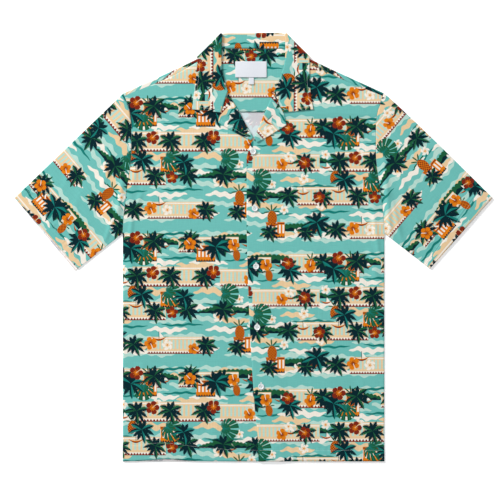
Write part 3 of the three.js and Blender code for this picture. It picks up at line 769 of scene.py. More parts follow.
for motif, (takes, gives, recipe) in MOTIFS.items():
    group(motif, takes, gives, recipe)
print("motifs:", ", ".join(MOTIFS))

# %% [markdown]
# ### The layers of the print
# Screen colours are laid one over another, so the print is a stack: water, sand bars, shores and
# panels below, and flowers, leaves and fronds on top. A layer is a place, a motif, and one mix
# for each of its colours. The screen colours are flat, as ink is, and few, as screens cost money.

# %% The print
INK = {
    "water": linear("#6cbab2"),
    "pale": linear("#b3d6ca"),
    "teal": linear("#15786f"),
    "cream": linear("#efe7da"),
    "tan": linear("#e6c69a"),
    "orange": linear("#dc7a10"),
    "rust": linear("#7c2614"),
    "green": linear("#1b5a38"),
    "navy": linear("#03252c"),
}


def layer(name, motif, place, paints, **motif_inputs):
    """Rows for one layer: a place, its motif, and a mix of ink for each of the motif's masks.
    A paint is (mask, ink) or (mask, ink, within), and `within` limits it to another mask."""
    if "chance" in MOTIFS[motif][0]:
        motif_inputs["chance"] = f"{name}_at>chance"
    extra = " ".join(f"{key}={value}" for key, value in motif_inputs.items())
    rows = [
        f"{name}_at Group.Motif_place x y {place}",
        f"{name} Group.{motif.replace(' ', '_')} u={name}_at>u v={name}_at>v {extra}",
    ]
    for i, (mask, ink, *within) in enumerate(paints):
        source = f"{name}>{mask}"
        if within:
            rows.append(f"{name}_cut{i} Math.MULTIPLY {source} {name}>{within[0]}")
            source = f"{name}_cut{i}"
        rows.append(f"colour Mix.RGBA {source} colour {ink}")
    return rows


TAPA_PAINTS = [
    ("mask", "tan"),
    ("stripe", "pale", "mask"),
    ("hem", "cream", "mask"),
    ("zigzag", "rust", "mask"),
    ("rail", "cream", "mask"),
]
MAT_PAINTS = [
    ("mask", "orange"),
    ("stripe", "cream", "mask"),
    ("hem", "orange", "mask"),
    ("zigzag", "navy", "mask"),
    ("rail", "rust", "mask"),
]
SHORE_PAINTS = [("green", "green"), ("dark", "navy", "green"), ("line", "navy")]
CANOE_PAINTS = [
    ("mast", "navy"),
    ("sail", "cream"),
    ("mask", "orange"),
    ("stripe", "rust", "mask"),
]
PLUMERIA_PAINTS = [("mask", "cream"), ("tan", "tan", "mask"), ("core", "orange")]
SPLIT_PAINTS = [("mask", "green"), ("light", "teal", "mask")]
PINEAPPLE_PAINTS = [("crown", "green"), ("mask", "rust"), ("grid", "orange", "mask")]
SPRAY_PAINTS = [("mask", "navy"), ("light", "green", "mask")]
FAN_PAINTS = [("mask", "navy"), ("light", "teal", "mask")]
BLOOM_PAINTS = [("mask", "orange"), ("dark", "rust", "mask"), ("pistil", "cream")]
BUD_PAINTS = [("mask", "rust"), ("dark", "orange", "mask"), ("pistil", "tan")]
LAYERS = [
    # name, motif, "columns rows shift seed wander turn spread size fill", paints
    layer("haze", "Brush stroke", "4 8 .37 1 .3 0 0 1 .95", [("mask", "pale")], half=40, thick=6),
    layer("reef", "Brush stroke", "3 6 .27 2 .4 0 0 1 .85", [("mask", "teal")], half=36, thick=2.8),
    layer("sand", "Brush stroke", "3 6 .41 3 .3 0 0 1 .88", [("mask", "cream")], half=42, thick=7),
    layer("spit", "Brush stroke", "3 5 .29 4 .3 0 0 1 .65", [("mask", "tan")], half=34, thick=7),
    layer("shore", "Shore", "2 4 .45 5 .1 0 0 1 .9", SHORE_PAINTS, half=66),
    layer("tapa", "Tapa panel", "2 4 .55 6 .06 0 0 1 .85", TAPA_PAINTS, half=66),
    layer("mat", "Tapa panel", "3 3 .35 7 .3 0 0 1 .35", MAT_PAINTS, half=20),
    layer("canoe", "Canoe", "4 4 .31 8 .4 0 .1 14 .8", CANOE_PAINTS),
    layer("plumeria", "Plumeria", "5 5 .43 9 .4 0 6.3 10 .4", PLUMERIA_PAINTS),
    layer("split", "Split leaf", "3 3 .39 10 .3 1.2 2.4 30 .4", SPLIT_PAINTS),
    layer("fruit", "Pineapple", "4 3 .53 11 .3 0 .3 15 .5", PINEAPPLE_PAINTS),
    layer("spray", "Frond spray", "5 4 .47 12 .15 0 .5 26 .85", SPRAY_PAINTS),
    layer("fan", "Frond spray", "4 3 .33 13 .15 0 .7 30 .8", FAN_PAINTS),
    layer("bloom", "Hibiscus", "4 4 .36 14 .35 0 6.3 12 .25", BLOOM_PAINTS),
    layer("bud", "Hibiscus", "3 4 .27 15 .4 0 6.3 12 .5", BUD_PAINTS),
]
group("Print", ("x", "y"), ("colour",), "\n".join(sum(LAYERS, [])), colour=INK["water"], **INK)
print(len(LAYERS), "layers in", len(INK), "inks")

# %% [markdown]
# ## Materials
# The cloth is printed rayon: a plain weave of spun viscose yarn, matt and soft, with slubs where
# the yarn swells. The yarns lie 0.3 mm apart. The slubs are what the eye sees from a step away,
# so they are drawn along both yarn directions as streaks, and the weave itself only as a fine
# bump for close views. The ink is printed on one side, and on the wrong side it comes through as
# a pale grey-blue ghost.


# %% Cloth materials
def material(name, recipe, **given):
    """A material whose recipe ends in a row named surface."""
    made = bpy.data.materials.new(name)
    made.use_nodes = True
    tree = made.node_tree
    tree.nodes.clear()
    nodes = wire(tree, recipe, **given)
    end = tree.nodes.new("ShaderNodeOutputMaterial")
    tree.links.new(nodes["surface"].outputs[0], end.inputs["Surface"])
    return made


WEAVE = """
    grain    UVMap.Grain
    spot     VectorMath.SCALE     grain 1000
    place    SeparateXYZ          spot
    warp_at  VectorMath.MULTIPLY  spot warp_step
    warp     TexNoise             Vector=warp_at Scale=1 Detail=1 Roughness=0.5
    weft_at  VectorMath.MULTIPLY  spot weft_step
    weft     TexNoise             Vector=weft_at Scale=1 Detail=1 Roughness=0.5
    slub     Math.ADD             warp>0 weft>0
    over_x   Math.MULTIPLY        place>0 yarn
    over_y   Math.MULTIPLY        place>1 yarn
    wave_x   Math.SINE            over_x
    wave_y   Math.SINE            over_y
    knit     Math.MULTIPLY        wave_x wave_y
    relief   Math.MULTIPLY_ADD    knit 0.25 slub
    bump     Bump                 Height=relief Strength=0.6 Distance=0.00012
"""
PRINTED = WEAVE + """
    print    Group.Print          place>0 place>1
    tone     Math.MULTIPLY_ADD    slub 0.22 0.78
    inked    VectorMath.SCALE     print tone
    surface  BsdfPrincipled       Base_Color=inked Roughness=0.86 Normal=bump
"""
UNPRINTED = WEAVE + """
    print    Group.Print          place>0 place>1
    ghost    Mix.RGBA             0.36 bare print
    tone     Math.MULTIPLY_ADD    slub 0.12 0.88
    inked    VectorMath.SCALE     ghost tone
    surface  BsdfPrincipled       Base_Color=inked Roughness=0.9 Normal=bump
"""
# Slub streaks 0.9 mm wide and 28 mm long, and yarns drawn 0.6 mm apart so that they can show.
CLOTH = {
    "warp_step": (1.1, 0.036, 0),
    "weft_step": (0.036, 1.1, 0),
    "yarn": np.pi / 0.6,
    "bare": linear("#f5f2f7"),
}
printed_rayon = material("Printed rayon, right side", PRINTED, **CLOTH)
rayon_back = material("Printed rayon, wrong side", UNPRINTED, **CLOTH)
for finish in (printed_rayon, rayon_back):
    shader = next(n for n in finish.node_tree.nodes if n.type == "BSDF_PRINCIPLED")
    shader.inputs["Sheen Weight"].default_value = 0.03
    shader.inputs["Sheen Roughness"].default_value = 0.5
    shader.inputs["Specular IOR Level"].default_value = 0.07
shirting = (printed_rayon, rayon_back)
faced = (printed_rayon, printed_rayon)
print("materials:", printed_rayon.name, "and", rayon_back.name)

# %% [markdown]
# The label is a woven polyester satin: white, with the faint ribs of its weft and a soft gloss.
# The sewing thread is white cotton, two plies twisted, so its relief runs round it slantwise.
# The buttons are polyester cast to look like shell. Pearl essence in it lies in cloudy layers,
# which makes it shift a little between white and a cool grey, under a polished surface.

# %% Label, thread and button materials
SATIN = """
    grain    UVMap.Grain
    spot     VectorMath.SCALE     grain 1000
    place    SeparateXYZ          spot
    ribs_at  Math.MULTIPLY        place>1 8
    ribs     Math.SINE            ribs_at
    weft_at  VectorMath.MULTIPLY  spot weft_step
    weft     TexNoise             Vector=weft_at Scale=1 Detail=2
    relief   Math.MULTIPLY_ADD    ribs 0.3 weft>0
    tone     Math.MULTIPLY_ADD    weft>0 0.1 0.93
    shade    VectorMath.SCALE     white tone
    bump     Bump                 Height=relief Strength=0.5 Distance=0.0001
    surface  BsdfPrincipled       Base_Color=shade Roughness=0.55 Normal=bump
"""
THREAD = """
    grain    UVMap.Grain
    spot     VectorMath.SCALE     grain 1000
    place    SeparateXYZ          spot
    slant    Math.MULTIPLY_ADD    place>0 9 place>1
    ply      Math.SINE            slant
    fuzz     TexNoise             Vector=spot Scale=3 Detail=2
    tone     Math.MULTIPLY_ADD    fuzz>0 0.12 0.9
    shade    VectorMath.SCALE     white tone
    bump     Bump                 Height=ply Strength=0.7 Distance=0.00005
    surface  BsdfPrincipled       Base_Color=shade Roughness=0.75 Normal=bump
"""
PEARL = """
    place    TexCoord
    spot     VectorMath.SCALE     place>Object 1000
    flat     VectorMath.MULTIPLY  spot flow
    cloud    TexNoise             Vector=flat Scale=0.22 Detail=3 Distortion=1.6
    share    MapRange             Value=cloud>0 From_Min=0.38 From_Max=0.62
    shade    Mix.RGBA             share>0 cool white
    surface  BsdfPrincipled       Base_Color=shade Roughness=0.22 Coat_Weight=0.6
"""
woven_satin = material(
    "Woven polyester satin", SATIN, white=linear("#e2e5eb"), weft_step=(0.05, 1.4, 0)
)
cotton_thread = material("Twisted cotton thread", THREAD, white=linear("#dfe4df"))
cast_pearl = material(
    "Cast pearl polyester, polished",
    PEARL,
    white=linear("#f4f5f3"),
    cool=linear("#d5dde0"),
    flow=(1.0, 2.2, 1.0),
)
print("materials:", woven_satin.name, cotton_thread.name, cast_pearl.name, sep=", ")

# %% [markdown]
# ## The fronts
# A front reaches from its free edge at the middle to the side, where the cloth rounds down to the
# floor and goes on as the back. Above the yoke level its outline runs in to the neck and along
# the shoulder. So the parameter u goes from the middle to the side, with its last fifth on the
# rounded side, and v goes from the hem (0) to the yoke level (1) and on to the shoulder (2).
# The hem is folded up twice. It is thicker, with a groove where it is stitched, 21 mm up on one
# front and up to 32 mm on the other, whose edge bows up and lets the back's hem show.

# %% The fronts' form
LOW_Y = YOKE_Y - 2
BACK_STITCH_Y = HEM_Y + BACK_STITCH_UP
SIDE_RADIUS = LAYER + WALL / 2
BEND_X = HALF_CHEST - WALL / 2 - SIDE_RADIUS
SEAM_FROM_X = 85.0  # where the shoulder seam meets the collar
BEND_AT, BEND_SHARE = 0.8, 0.97  # u where the side bends, and its share of the front's width


def front_seam(fold_x):
    """A point of the seam between yoke and front, below the place fold_x on the shoulder fold."""
    y = shoulder_y(fold_x) - yoke_strip(fold_x) - SEAM_GAP / 2
    return fold_x * armhole_x(y) / SHOULDER_X, y


def inner_edge(y, upper):
    """The edge of a front at the middle, then beside the lapel and along the collar's stand."""
    if upper:
        return np.where(y < 197, leading_x(y), front_neck_x(y))
    hidden = -(leading_x(y) + PLACKET_WIDTH)
    return mix(hidden, front_neck_x(np.maximum(y, 206)), ease(y, 184, 212))


def front_plan(u, v, upper):
    """x and y on the flat: straight between the edges below v = 1. Above it, between the level
    and the shoulder seam, with both edges' bow added."""
    rise = np.clip(v - 1, 0, None)
    seam_x, seam_y = front_seam(mix(SEAM_FROM_X, SHOULDER_X, u))
    (neck_x, neck_y), (tip_x, tip_y) = front_seam(SEAM_FROM_X), front_seam(SHOULDER_X)
    y = np.where(v <= 1, mix(HEM_Y, LOW_Y, v), mix(LOW_Y, seam_y, rise))
    row_y = np.where(v <= 1, y, LOW_Y)
    low = mix(inner_edge(row_y, upper), armhole_x(row_y), u)
    at_neck, at_arm = mix(LOW_Y, neck_y, rise), mix(LOW_Y, tip_y, rise)
    bow_in = inner_edge(at_neck, upper) - mix(inner_edge(LOW_Y, upper), neck_x, rise)
    bow_out = armhole_x(at_arm) - mix(armhole_x(LOW_Y), tip_x, rise)
    above = mix(low, seam_x, rise) + bow_in * (1 - u) + bow_out * u
    return np.where(v <= 1, low, above), y


def hem_wave(x, y):
    """The right front's edge bows up from the back's hem: a bell curve along the hem, that fades
    over 70 mm upwards."""
    off = (x - HEM_WAVE["x"]) / HEM_WAVE["wide"]
    return HEM_WAVE["high"] * np.exp(-off * off) * (1 - ease(y, HEM_Y, HEM_Y + HEM_WAVE["fade"]))


def pucker(x, y):
    """The hem's stitches draw the cloth together: small waves 13 mm long that drift along the
    hem, under a bell curve 9 mm to each side of the stitches."""
    off = (y - HEM_Y - hem_stitch_up(x)) / PUCKER["reach"]
    drift = PUCKER["drift"] * np.sin(x / PUCKER["drift_wave"])
    return PUCKER["high"] * np.exp(-off * off) * np.sin(x / PUCKER["wave"] + drift)


def front_form(hand):
    """The middle surface of a front. Below the arm the side is a quarter circle down to the
    floor, and the change from flat to rounded is eased over 18 mm under the arm."""
    upper = hand > 0

    def form(u, v):
        past = np.clip((u - BEND_AT) / (1 - BEND_AT), 0, 1)
        inside = u < BEND_AT
        share = np.where(
            inside, u / BEND_AT * BEND_SHARE, mix(BEND_SHARE, 1, (u - BEND_AT) / (1 - BEND_AT))
        )
        x, y = front_plan(share, v, upper)
        z = front_under(hand * x, y, upper) + WALL / 2
        turn = past * np.pi / 2
        bent_x = np.where(
            inside,
            mix(inner_edge(y, upper), BEND_X, u / BEND_AT),
            BEND_X + SIDE_RADIUS * np.sin(turn),
        )
        bent_z = front_under(hand * np.minimum(bent_x, BEND_X), y, upper) + WALL / 2
        bent_z += SIDE_RADIUS * (np.cos(turn) - 1)
        bent_z = mix(bent_z, SIDE_RADIUS * np.cos(turn), ease(past, 0, 0.3))
        rounded = 1 - ease(y, 6, UNDERARM_Y - 1)
        x, z = mix(x, bent_x, rounded), mix(z, bent_z, rounded)
        z = z + pucker(hand * x, y) * (1 - ease(past, 0, 0.2))
        return leaned(np.stack([hand * x, y + (not upper) * hem_wave(hand * x, y), z], axis=-1))

    return form


def hem_profile(up, extra, groove):
    """The wall at a height over the hem's stitches: thicker below them, with a groove there."""
    return THIN + extra * (1 - ease(up, 0.9, 2.1)) - groove * np.exp(-((up / 1.1) ** 2))


def hem_wall(hand):
    """A front's wall, whose hem stitches don't lie at one height."""

    def wall(u, v):
        up = mix(0, LOW_Y - HEM_Y, v) - hem_stitch_up(front_form(hand)(u, v)[..., 0])
        return hem_profile(up, HEM_EXTRA, 0.35)

    return wall


hem_rows = np.concatenate([np.linspace(0, 18, 7), np.arange(18.8, 35, 0.8), np.linspace(36, 44, 4)])
BODY_FROM_Y = HEM_Y + 47  # above the close rows of the hem
body_rows = np.arange(BODY_FROM_Y, LOW_Y, 3.2)
front_vs = np.concatenate(
    [hem_rows / (LOW_Y - HEM_Y), (body_rows - HEM_Y) / (LOW_Y - HEM_Y), np.linspace(1, 2, 36)]
)
front_us = np.concatenate([np.linspace(0, BEND_AT, 100), np.linspace(BEND_AT, 1, 11)[1:]])
front_left, front_right = [
    cloth(name, front_form(hand), front_us, front_vs, hem_wall(hand), grain, shirting, side=hand)
    for name, hand, grain in (
        ("Front_left", 1, plain_grain()),
        ("Front_right", -1, plain_grain(-61, 38)),
    )
]

# %% [markdown]
# ## The back and the yokes
# The back lies on the floor with its printed side down, so its pale side shows through the neck.
# The outer yoke is the back's upper part. It lies flat, turns over the fold of the shoulders and
# ends at the seam with the fronts. A section of it is a straight run, half a circle and another
# straight run, which is why it is worked out from the length s along it. The inner yoke lies on
# the outer one with its printed side up.

# %% Back and yokes
BACK_RIDGES = [
    # from x, from y, to x, to y, width, height; these lift off the floor, so they are low
    (-30, 262, 8, 150, 7, 0.5),
    (40, 250, 18, 130, 6, 0.45),
    (-150, 190, -196, 20, 9, 0.55),
    (168, 214, 202, 40, 9, 0.55),
    (-90, -40, -150, -330, 14, 0.5),
    (70, 60, 120, -180, 12, 0.5),
    (190, -90, 206, -340, 9, 0.5),
    (-196, -20, -214, -250, 8, 0.5),
    (20, -220, -20, -390, 12, 0.45),
]


def back_form(u, y):
    """A flat panel between the armholes, a little inside the rounded sides of the fronts."""
    edge = armhole_x(y) - 2.2 * (1 - ease(y, UNDERARM_Y, UNDERARM_Y + 21))
    x = u * edge
    return np.stack([x, y, WALL / 2 + ridges(BACK_RIDGES, x, y)], axis=-1)


def back_wall(u, y):
    """The back's wall, with a hem as the fronts have."""
    return hem_profile(y - BACK_STITCH_Y, 0.4, 0.3)


def outer_yoke_form(u, share):
    """Half of the rows lie on the flat part and half follow the bend and the strip. At a length
    s past the flat part, the section has turned by s over the radius, up to half a circle."""
    radius = LAYER
    fold_x = np.abs(u) * SHOULDER_X
    flat = shoulder_y(fold_x) - WALL / 2 - radius - YOKE_Y
    strip = yoke_strip(fold_x) - radius - WALL / 2 - SEAM_GAP / 2
    to_neck = neck_seam_y(fold_x) - YOKE_Y
    length = mix(to_neck, flat + np.pi * radius + strip, ease(fold_x, 83, 92))
    bend_at = np.minimum(flat, length - 1)
    s = np.where(share < 0.5, bend_at * share * 2, mix(bend_at, length, share * 2 - 1))
    turn = np.clip((s - flat) / radius, 0, np.pi)
    past = np.maximum(s - flat - np.pi * radius, 0)
    y = YOKE_Y + np.where(s > flat, flat + radius * np.sin(turn) - past, s)
    x = u * (armhole_x(np.minimum(y, SHOULDER_Y)) - SEAM_GAP)
    z = rise_over_fall(x, y) + WALL / 2 + radius * (1 - np.cos(turn))
    return np.stack([x, y, z], axis=-1)


def outer_yoke_grain(u, share, p):
    """Cut upright: its width, mirrored as it faces down, and the length along its section."""
    fold_x = np.abs(u) * SHOULDER_X
    over = p[..., 2] > rise_over_fall(p[..., 0], p[..., 1]) + WALL / 2 + LAYER
    fold_y = shoulder_y(fold_x)
    return -p[..., 0] + 17, np.where(over, 2 * fold_y - p[..., 1], p[..., 1])


def inner_yoke_form(u, v):
    """Flat on the outer yoke, from the back's seam up to the collar and the shoulder fold."""
    top_x = np.abs(u) * SHOULDER_X
    under_fold = shoulder_y(top_x) - 4.5
    at_neck = np.minimum(neck_seam_y(top_x), under_fold)
    top = np.where(top_x > SEAM_FROM_X, under_fold, at_neck)
    y = mix(YOKE_Y, top, v)
    x = u * (armhole_x(np.minimum(y, SHOULDER_Y)) - SEAM_GAP)
    return np.stack([x, y, rise_over_fall(x, y) + LAYER + WALL / 2 + yoke_waves(x, y)], axis=-1)


def yoke_waves(x, y):
    """The inner yoke hangs loose inside the neck, so it lies there in low waves."""
    inside = ease(y, YOKE_Y + 2, YOKE_Y + 20) * (1 - ease(np.abs(x), 50, 74))
    return 0.35 * inside * (1 + np.sin(x / 13 + y / 31) * np.cos(y / 17 - x / 47))


back = cloth(
    "Back",
    back_form,
    np.linspace(-1, 1, 110),
    np.concatenate([HEM_Y + hem_rows, np.arange(BODY_FROM_Y, YOKE_Y - 1, 4), [YOKE_Y - SEAM_GAP]]),
    back_wall,
    plain_grain(23, -40, mirror=-1),
    shirting,
    side=-1,
)
yoke_shares = np.concatenate([np.linspace(0, 0.5, 24), np.linspace(0.5, 1, 25)[1:]])
yoke_outer = cloth(
    "Outer_yoke",
    outer_yoke_form,
    np.linspace(-1, 1, 181),
    yoke_shares,
    THIN,
    outer_yoke_grain,
    shirting,
    side=-1,
)
yoke_inner = cloth(
    "Inner_yoke",
    inner_yoke_form,
    np.linspace(-1, 1, 161),
    np.linspace(0, 1, 36),
    THIN,
    plain_grain(88, 12),
    shirting,
)

# %% [markdown]
# ## The sleeves
# A sleeve is one tube, pressed flat. Its parameter r runs once round the tube: the under layer
# (0 to 1), the bend along the top fold (1 to 2), the upper layer (2 to 3) and the bend under the
# arm (3 to 4). The cloth stands higher near the armhole, where its ease is gathered, and the hem
# is a little thicker. The wearer's right sleeve shows a strip of its under layer at the hem.

# %% Sleeves
SLEEVE_FOLDS = [
    # along, across, reach, spread, height, as shares of the sleeve's length and width
    (0.16, 0.14, 0.2, 0.1, 1.8),
    (0.1, 0.42, 0.14, 0.12, 0.9),
    (0.55, 0.5, 0.45, 0.3, 1.0),
    (0.25, 0.8, 0.2, 0.12, 0.6),
]
SLEEVE_CREASES = [
    # from x, from y, to x, to y, width, height, in millimetres on either sleeve
    (241, 196, 262, -6, 5, 2.3),
    (250, 128, 287, -24, 4.5, 1.7),
    (258, 214, 306, 6, 7, 1.1),
    (246, 84, 262, 8, 3.5, 1.6),
    (292, 90, 338, -28, 6, 0.8),
    (300, 226, 352, 104, 8, 0.7),
    (366, 156, 414, 44, 9, 0.6),
    (330, 60, 376, -6, 7, 0.6),
    (-240, 176, -264, 2, 5.5, 2.0),
    (-247, 100, -291, -22, 4.5, 1.4),
    (-256, 220, -302, 44, 7, 1.0),
    (-243, 66, -268, -2, 3.5, 1.3),
    (-312, 206, -372, 84, 8, 0.7),
    (-300, 34, -350, -26, 6, 0.7),
    (-372, 140, -404, 52, 9, 0.5),
    (-318, 120, -356, 30, 8, 0.6),
]
SLEEVE_HEM_AT = 0.89
SLEEVE_STITCH_AT = 0.9
SLEEVE_PUCKER = {"reach": 0.032, "high": 0.2, "waves": 126, "drift": 1.7, "drift_waves": 19}
SLEEVE_GROOVE = {"high": 0.3, "wide": 0.005}


def sleeve_form(hand):
    """The middle surface of a sleeve: straight between the armhole and the hem, flat layers
    half a height apart, and half circles of that height at the two folds."""
    own = SLEEVES["left" if hand > 0 else "right"]

    def edge(s, w):
        y = mix(UNDERARM_Y, SHOULDER_Y, w)
        bow = own["bow"] * np.sin(np.pi * np.clip(s, 0, 1) ** 0.6) * w**6
        x = mix(armhole_x(y) + SEAM_GAP, mix(own["low"][0], own["top"][0], w), s) + bow
        return np.stack([x, mix(y, mix(own["low"][1], own["top"][1], w), s) + bow], axis=-1)

    def height(s, w):
        y = mix(UNDERARM_Y, SHOULDER_Y, w)
        at_armhole = front_top(hand * armhole_x(y), y, hand > 0) - LAYER - WALL
        lift = at_armhole * (1 - ease(s, 0, 0.35))
        near_fold = np.minimum(1, 5 * w * (1 - w)) * ease(s, 0, 0.08)
        for along, across, reach, spread, high in SLEEVE_FOLDS:
            bell = np.exp(-(((s - along) / reach) ** 2) - ((w - across) / spread) ** 2)
            lift = lift + high * bell * near_fold
        plan = edge(s, w)
        flat_by_fold = ease(w, 0, 0.05) * (1 - ease(w, 0.95, 1))
        lift = lift + ridges(SLEEVE_CREASES, hand * plan[..., 0], plan[..., 1]) * flat_by_fold
        from_stitch = s - SLEEVE_STITCH_AT
        off = from_stitch / SLEEVE_PUCKER["reach"]
        drift = SLEEVE_PUCKER["drift"] * np.sin(SLEEVE_PUCKER["drift_waves"] * w)
        waves = np.sin(SLEEVE_PUCKER["waves"] * w + drift) * flat_by_fold
        hem = HEM_EXTRA * ease(s, SLEEVE_HEM_AT - 0.004, SLEEVE_HEM_AT)
        hem = hem + SLEEVE_PUCKER["high"] * np.exp(-off * off) * waves
        groove = SLEEVE_GROOVE["high"] * np.exp(-((from_stitch / SLEEVE_GROOVE["wide"]) ** 2))
        return LAYER + WALL + lift + hem - groove

    def form(s, r):
        r = np.mod(r, 4.0)
        parts = [r < 1, r < 2, r < 3]
        w = np.select(parts, [r, 1.0, 3 - r], 0.0)
        turn = np.select(parts, [-1.0, 2 * r - 3, 1.0], 7 - 2 * r)
        low, top = edge(s, np.zeros_like(w)), edge(s, np.ones_like(w))
        width = np.linalg.norm(top - low, axis=-1)
        unit = (top - low) / width[..., None]
        radius = height(s, w) / 2
        room_low, room_top = height(s, 0.0 * w) / 2 / width, height(s, 0.0 * w + 1) / 2 / width
        flat = edge(s, mix(room_low, 1 - room_top, w))
        angle = turn * np.pi / 2
        out = np.where(w == 1, 1.0, np.where(w == 0, -1.0, 0.0)) * np.cos(angle)
        flat = flat + unit * (out * (radius - WALL / 2))[..., None]
        along = edge(1.0 + 0 * s, w) - edge(0.8 + 0 * s, w)
        along = along / np.linalg.norm(along, axis=-1, keepdims=True)
        show = own["peek"] * (1 - w) * np.maximum(-turn, 0) * ease(s, 0.86, 1)
        flat = flat + along * show[..., None]
        z = radius + (radius - WALL / 2) * np.sin(angle)
        return np.stack([hand * flat[..., 0], flat[..., 1], z], axis=-1)

    return form


def sleeve_grain(hand):
    """The sleeve's lengthwise grain runs along its length, and the under layer goes on past
    the top fold, so its width is mirrored about that fold."""
    up = np.array([-0.763 * hand, 0.647])
    right = np.array([0.647, 0.763 * hand])
    top_fold = np.array([hand * SHOULDER_X, SHOULDER_Y]) @ right

    def grain(s, r, p):
        across, along = p[..., :2] @ right, p[..., :2] @ up
        under = (np.mod(r, 4.0) < 1.5) | (np.mod(r, 4.0) > 3.5)
        return np.where(under, 2 * top_fold - across, across) + 31 * hand, along - 55

    return grain


sleeve_ss = np.concatenate(
    [
        np.linspace(0, 0.86, 84),
        np.arange(0.868, 0.886, 0.004),
        np.arange(0.888, 0.92, 0.0022),
        np.linspace(0.93, 1, 6),
    ]
)
flat_run, bend_run = np.linspace(0, 1, 100)[:-1], np.linspace(0, 1, 9)[:-1]
sleeve_rs = np.concatenate([flat_run, 1 + bend_run, 2 + flat_run, 3 + bend_run])
sleeves = [
    cloth(
        name,
        sleeve_form(hand),
        sleeve_ss,
        sleeve_rs,
        THIN,
        sleeve_grain(hand),
        shirting,
        side=-hand,
        ring=4.0,
    )
    for name, hand in (("Sleeve_left", 1), ("Sleeve_right", -1))
]

# %% [markdown]
# ## The lapels and the collar
# Where the neck is open, each front turns back along the roll line and shows its facing. A
# section across a lapel is half a small circle round the roll, then a run that eases down to lie
# on the front. The collar is one band from gorge to gorge. Behind the neck its stand lies face
# up and its fall lies under the yokes, over each shoulder it folds, and its two leaves lie on
# the fronts. Both are two layers of cloth with a stiffener, so they are thicker and crisper.

# %% Lapels
LAPEL_ROLL = {"roll_x": [0.8, 5.4, 13.6, 27, 41.9], "roll_y": [205, 214, 230, 258, 286.6]}
LAPELS = {
    # both are written as if on the left; the right one's point lies a little higher
    "left": {"edge_x": [5.7, 29.5, 63, 62, 59], "edge_y": [196.5, 209.3, 229.6, 240.5, 250.6]},
    "right": {"edge_x": [3.4, 28, 64.6, 63.2, 59], "edge_y": [200.3, 211.5, 234, 242.5, 250.6]},
}
LAPEL_FOOT = {"left": 0.0, "right": 0.05}  # the row of the tables at which each one starts
ROLL_RADIUS = 1.25
INWARD = np.array([-0.914, 0.405])  # across the roll, towards the open neck


def rows_of(table):
    """Each column of a table as a smooth line over its row numbers, and as straight runs."""
    at = np.arange(len(next(iter(table.values()))))
    smooth = {name: line_through(at, column) for name, column in table.items()}
    sharp = {name: (lambda k, c=column: np.interp(k, at, c)) for name, column in table.items()}
    return smooth, sharp


def lapel_form(hand):
    """row runs from the lapel's foot to the gorge, t round the roll (0 to 1) and out (1 to 2)."""
    own = "left" if hand > 0 else "right"
    smooth, sharp = rows_of(LAPEL_ROLL | LAPELS[own])

    def form(row, t):
        k = mix(LAPEL_FOOT[own], len(LAPEL_ROLL["roll_x"]) - 1, row)
        foot_x = smooth["roll_x"](k) - INWARD[0] * ROLL_RADIUS
        foot_y = smooth["roll_y"](k) - INWARD[1] * ROLL_RADIUS
        lip = front_under(hand * foot_x, foot_y, hand > 0) + LAPEL_WALL / 2
        turn = np.clip(t, 0, 1) * np.pi
        out = np.clip(t - 1, 0, None)
        free_x, free_y = sharp["edge_x"](k), sharp["edge_y"](k)
        x = mix(foot_x, free_x, out) + INWARD[0] * ROLL_RADIUS * np.sin(turn)
        y = mix(foot_y, free_y, out) + INWARD[1] * ROLL_RADIUS * np.sin(turn)
        away = np.hypot(x - foot_x, y - foot_y)
        rest = front_top(hand * x, y, hand > 0) + AIR + LAPEL_WALL / 2
        laid = rest + (lip + 2 * ROLL_RADIUS - rest) * (1 - ease(away, 0, 22))
        z = np.where(t <= 1, lip + ROLL_RADIUS * (1 - np.cos(turn)), laid)
        return leaned(np.stack([hand * x, y, z], axis=-1))

    return form


def lapel_grain(hand):
    """The facing's own grain, turned with the lapel about its roll."""
    up, right = np.array([0.731 * hand, 0.671]), np.array([0.671, -0.731 * hand])
    return lambda row, t, p: (p[..., :2] @ right + 40 * hand, p[..., :2] @ up + 120)


lapel_rows = np.unique(np.concatenate([np.linspace(0, 1, 49), [0.4897, 0.5]]))
lapel_ts = np.concatenate([np.linspace(0, 1, 9), np.linspace(1, 2, 33)[1:]])
lapels = [
    cloth(
        name,
        lapel_form(hand),
        lapel_rows,
        lapel_ts,
        DOUBLE,
        lapel_grain(hand),
        faced,
        side=-hand,
    )
    for name, hand in (("Lapel_left", 1), ("Lapel_right", -1))
]

# %% The collar
COLLAR = {
    "seam_x": [45.3, 51.5, 58, 64.5, 71, 77, 80.5, 80, 80, 69, 52, 0],
    "seam_y": [289.8, 302, 315, 327, 339, 351, 360, 368.5, 368.5, 373, 373.3, 373.3],
    "roll_x": [43.5, 47.4, 51.4, 55.2, 58.7, 60, 60, 59, 59, 48, 32, 0],
    "roll_y": [291.4, 300.5, 312, 325, 340, 356, 377, 399.6, 399.6, 402.5, 402.5, 402.5],
    "edge_x": [58.4, 86, 115.6, 112.6, 108.6, 106.4, 105.8, 105.2, 105.2, 86, 58, 0],
    "edge_y": [253, 255.6, 258.7, 286, 317, 338, 348, 353.6, 353.6, 347, 343.5, 341],
}
LAST = len(COLLAR["seam_x"]) - 1
TURN_FROM = 7  # between this station and the next the collar folds over the shoulder
COLLAR_ROLL = 1.2


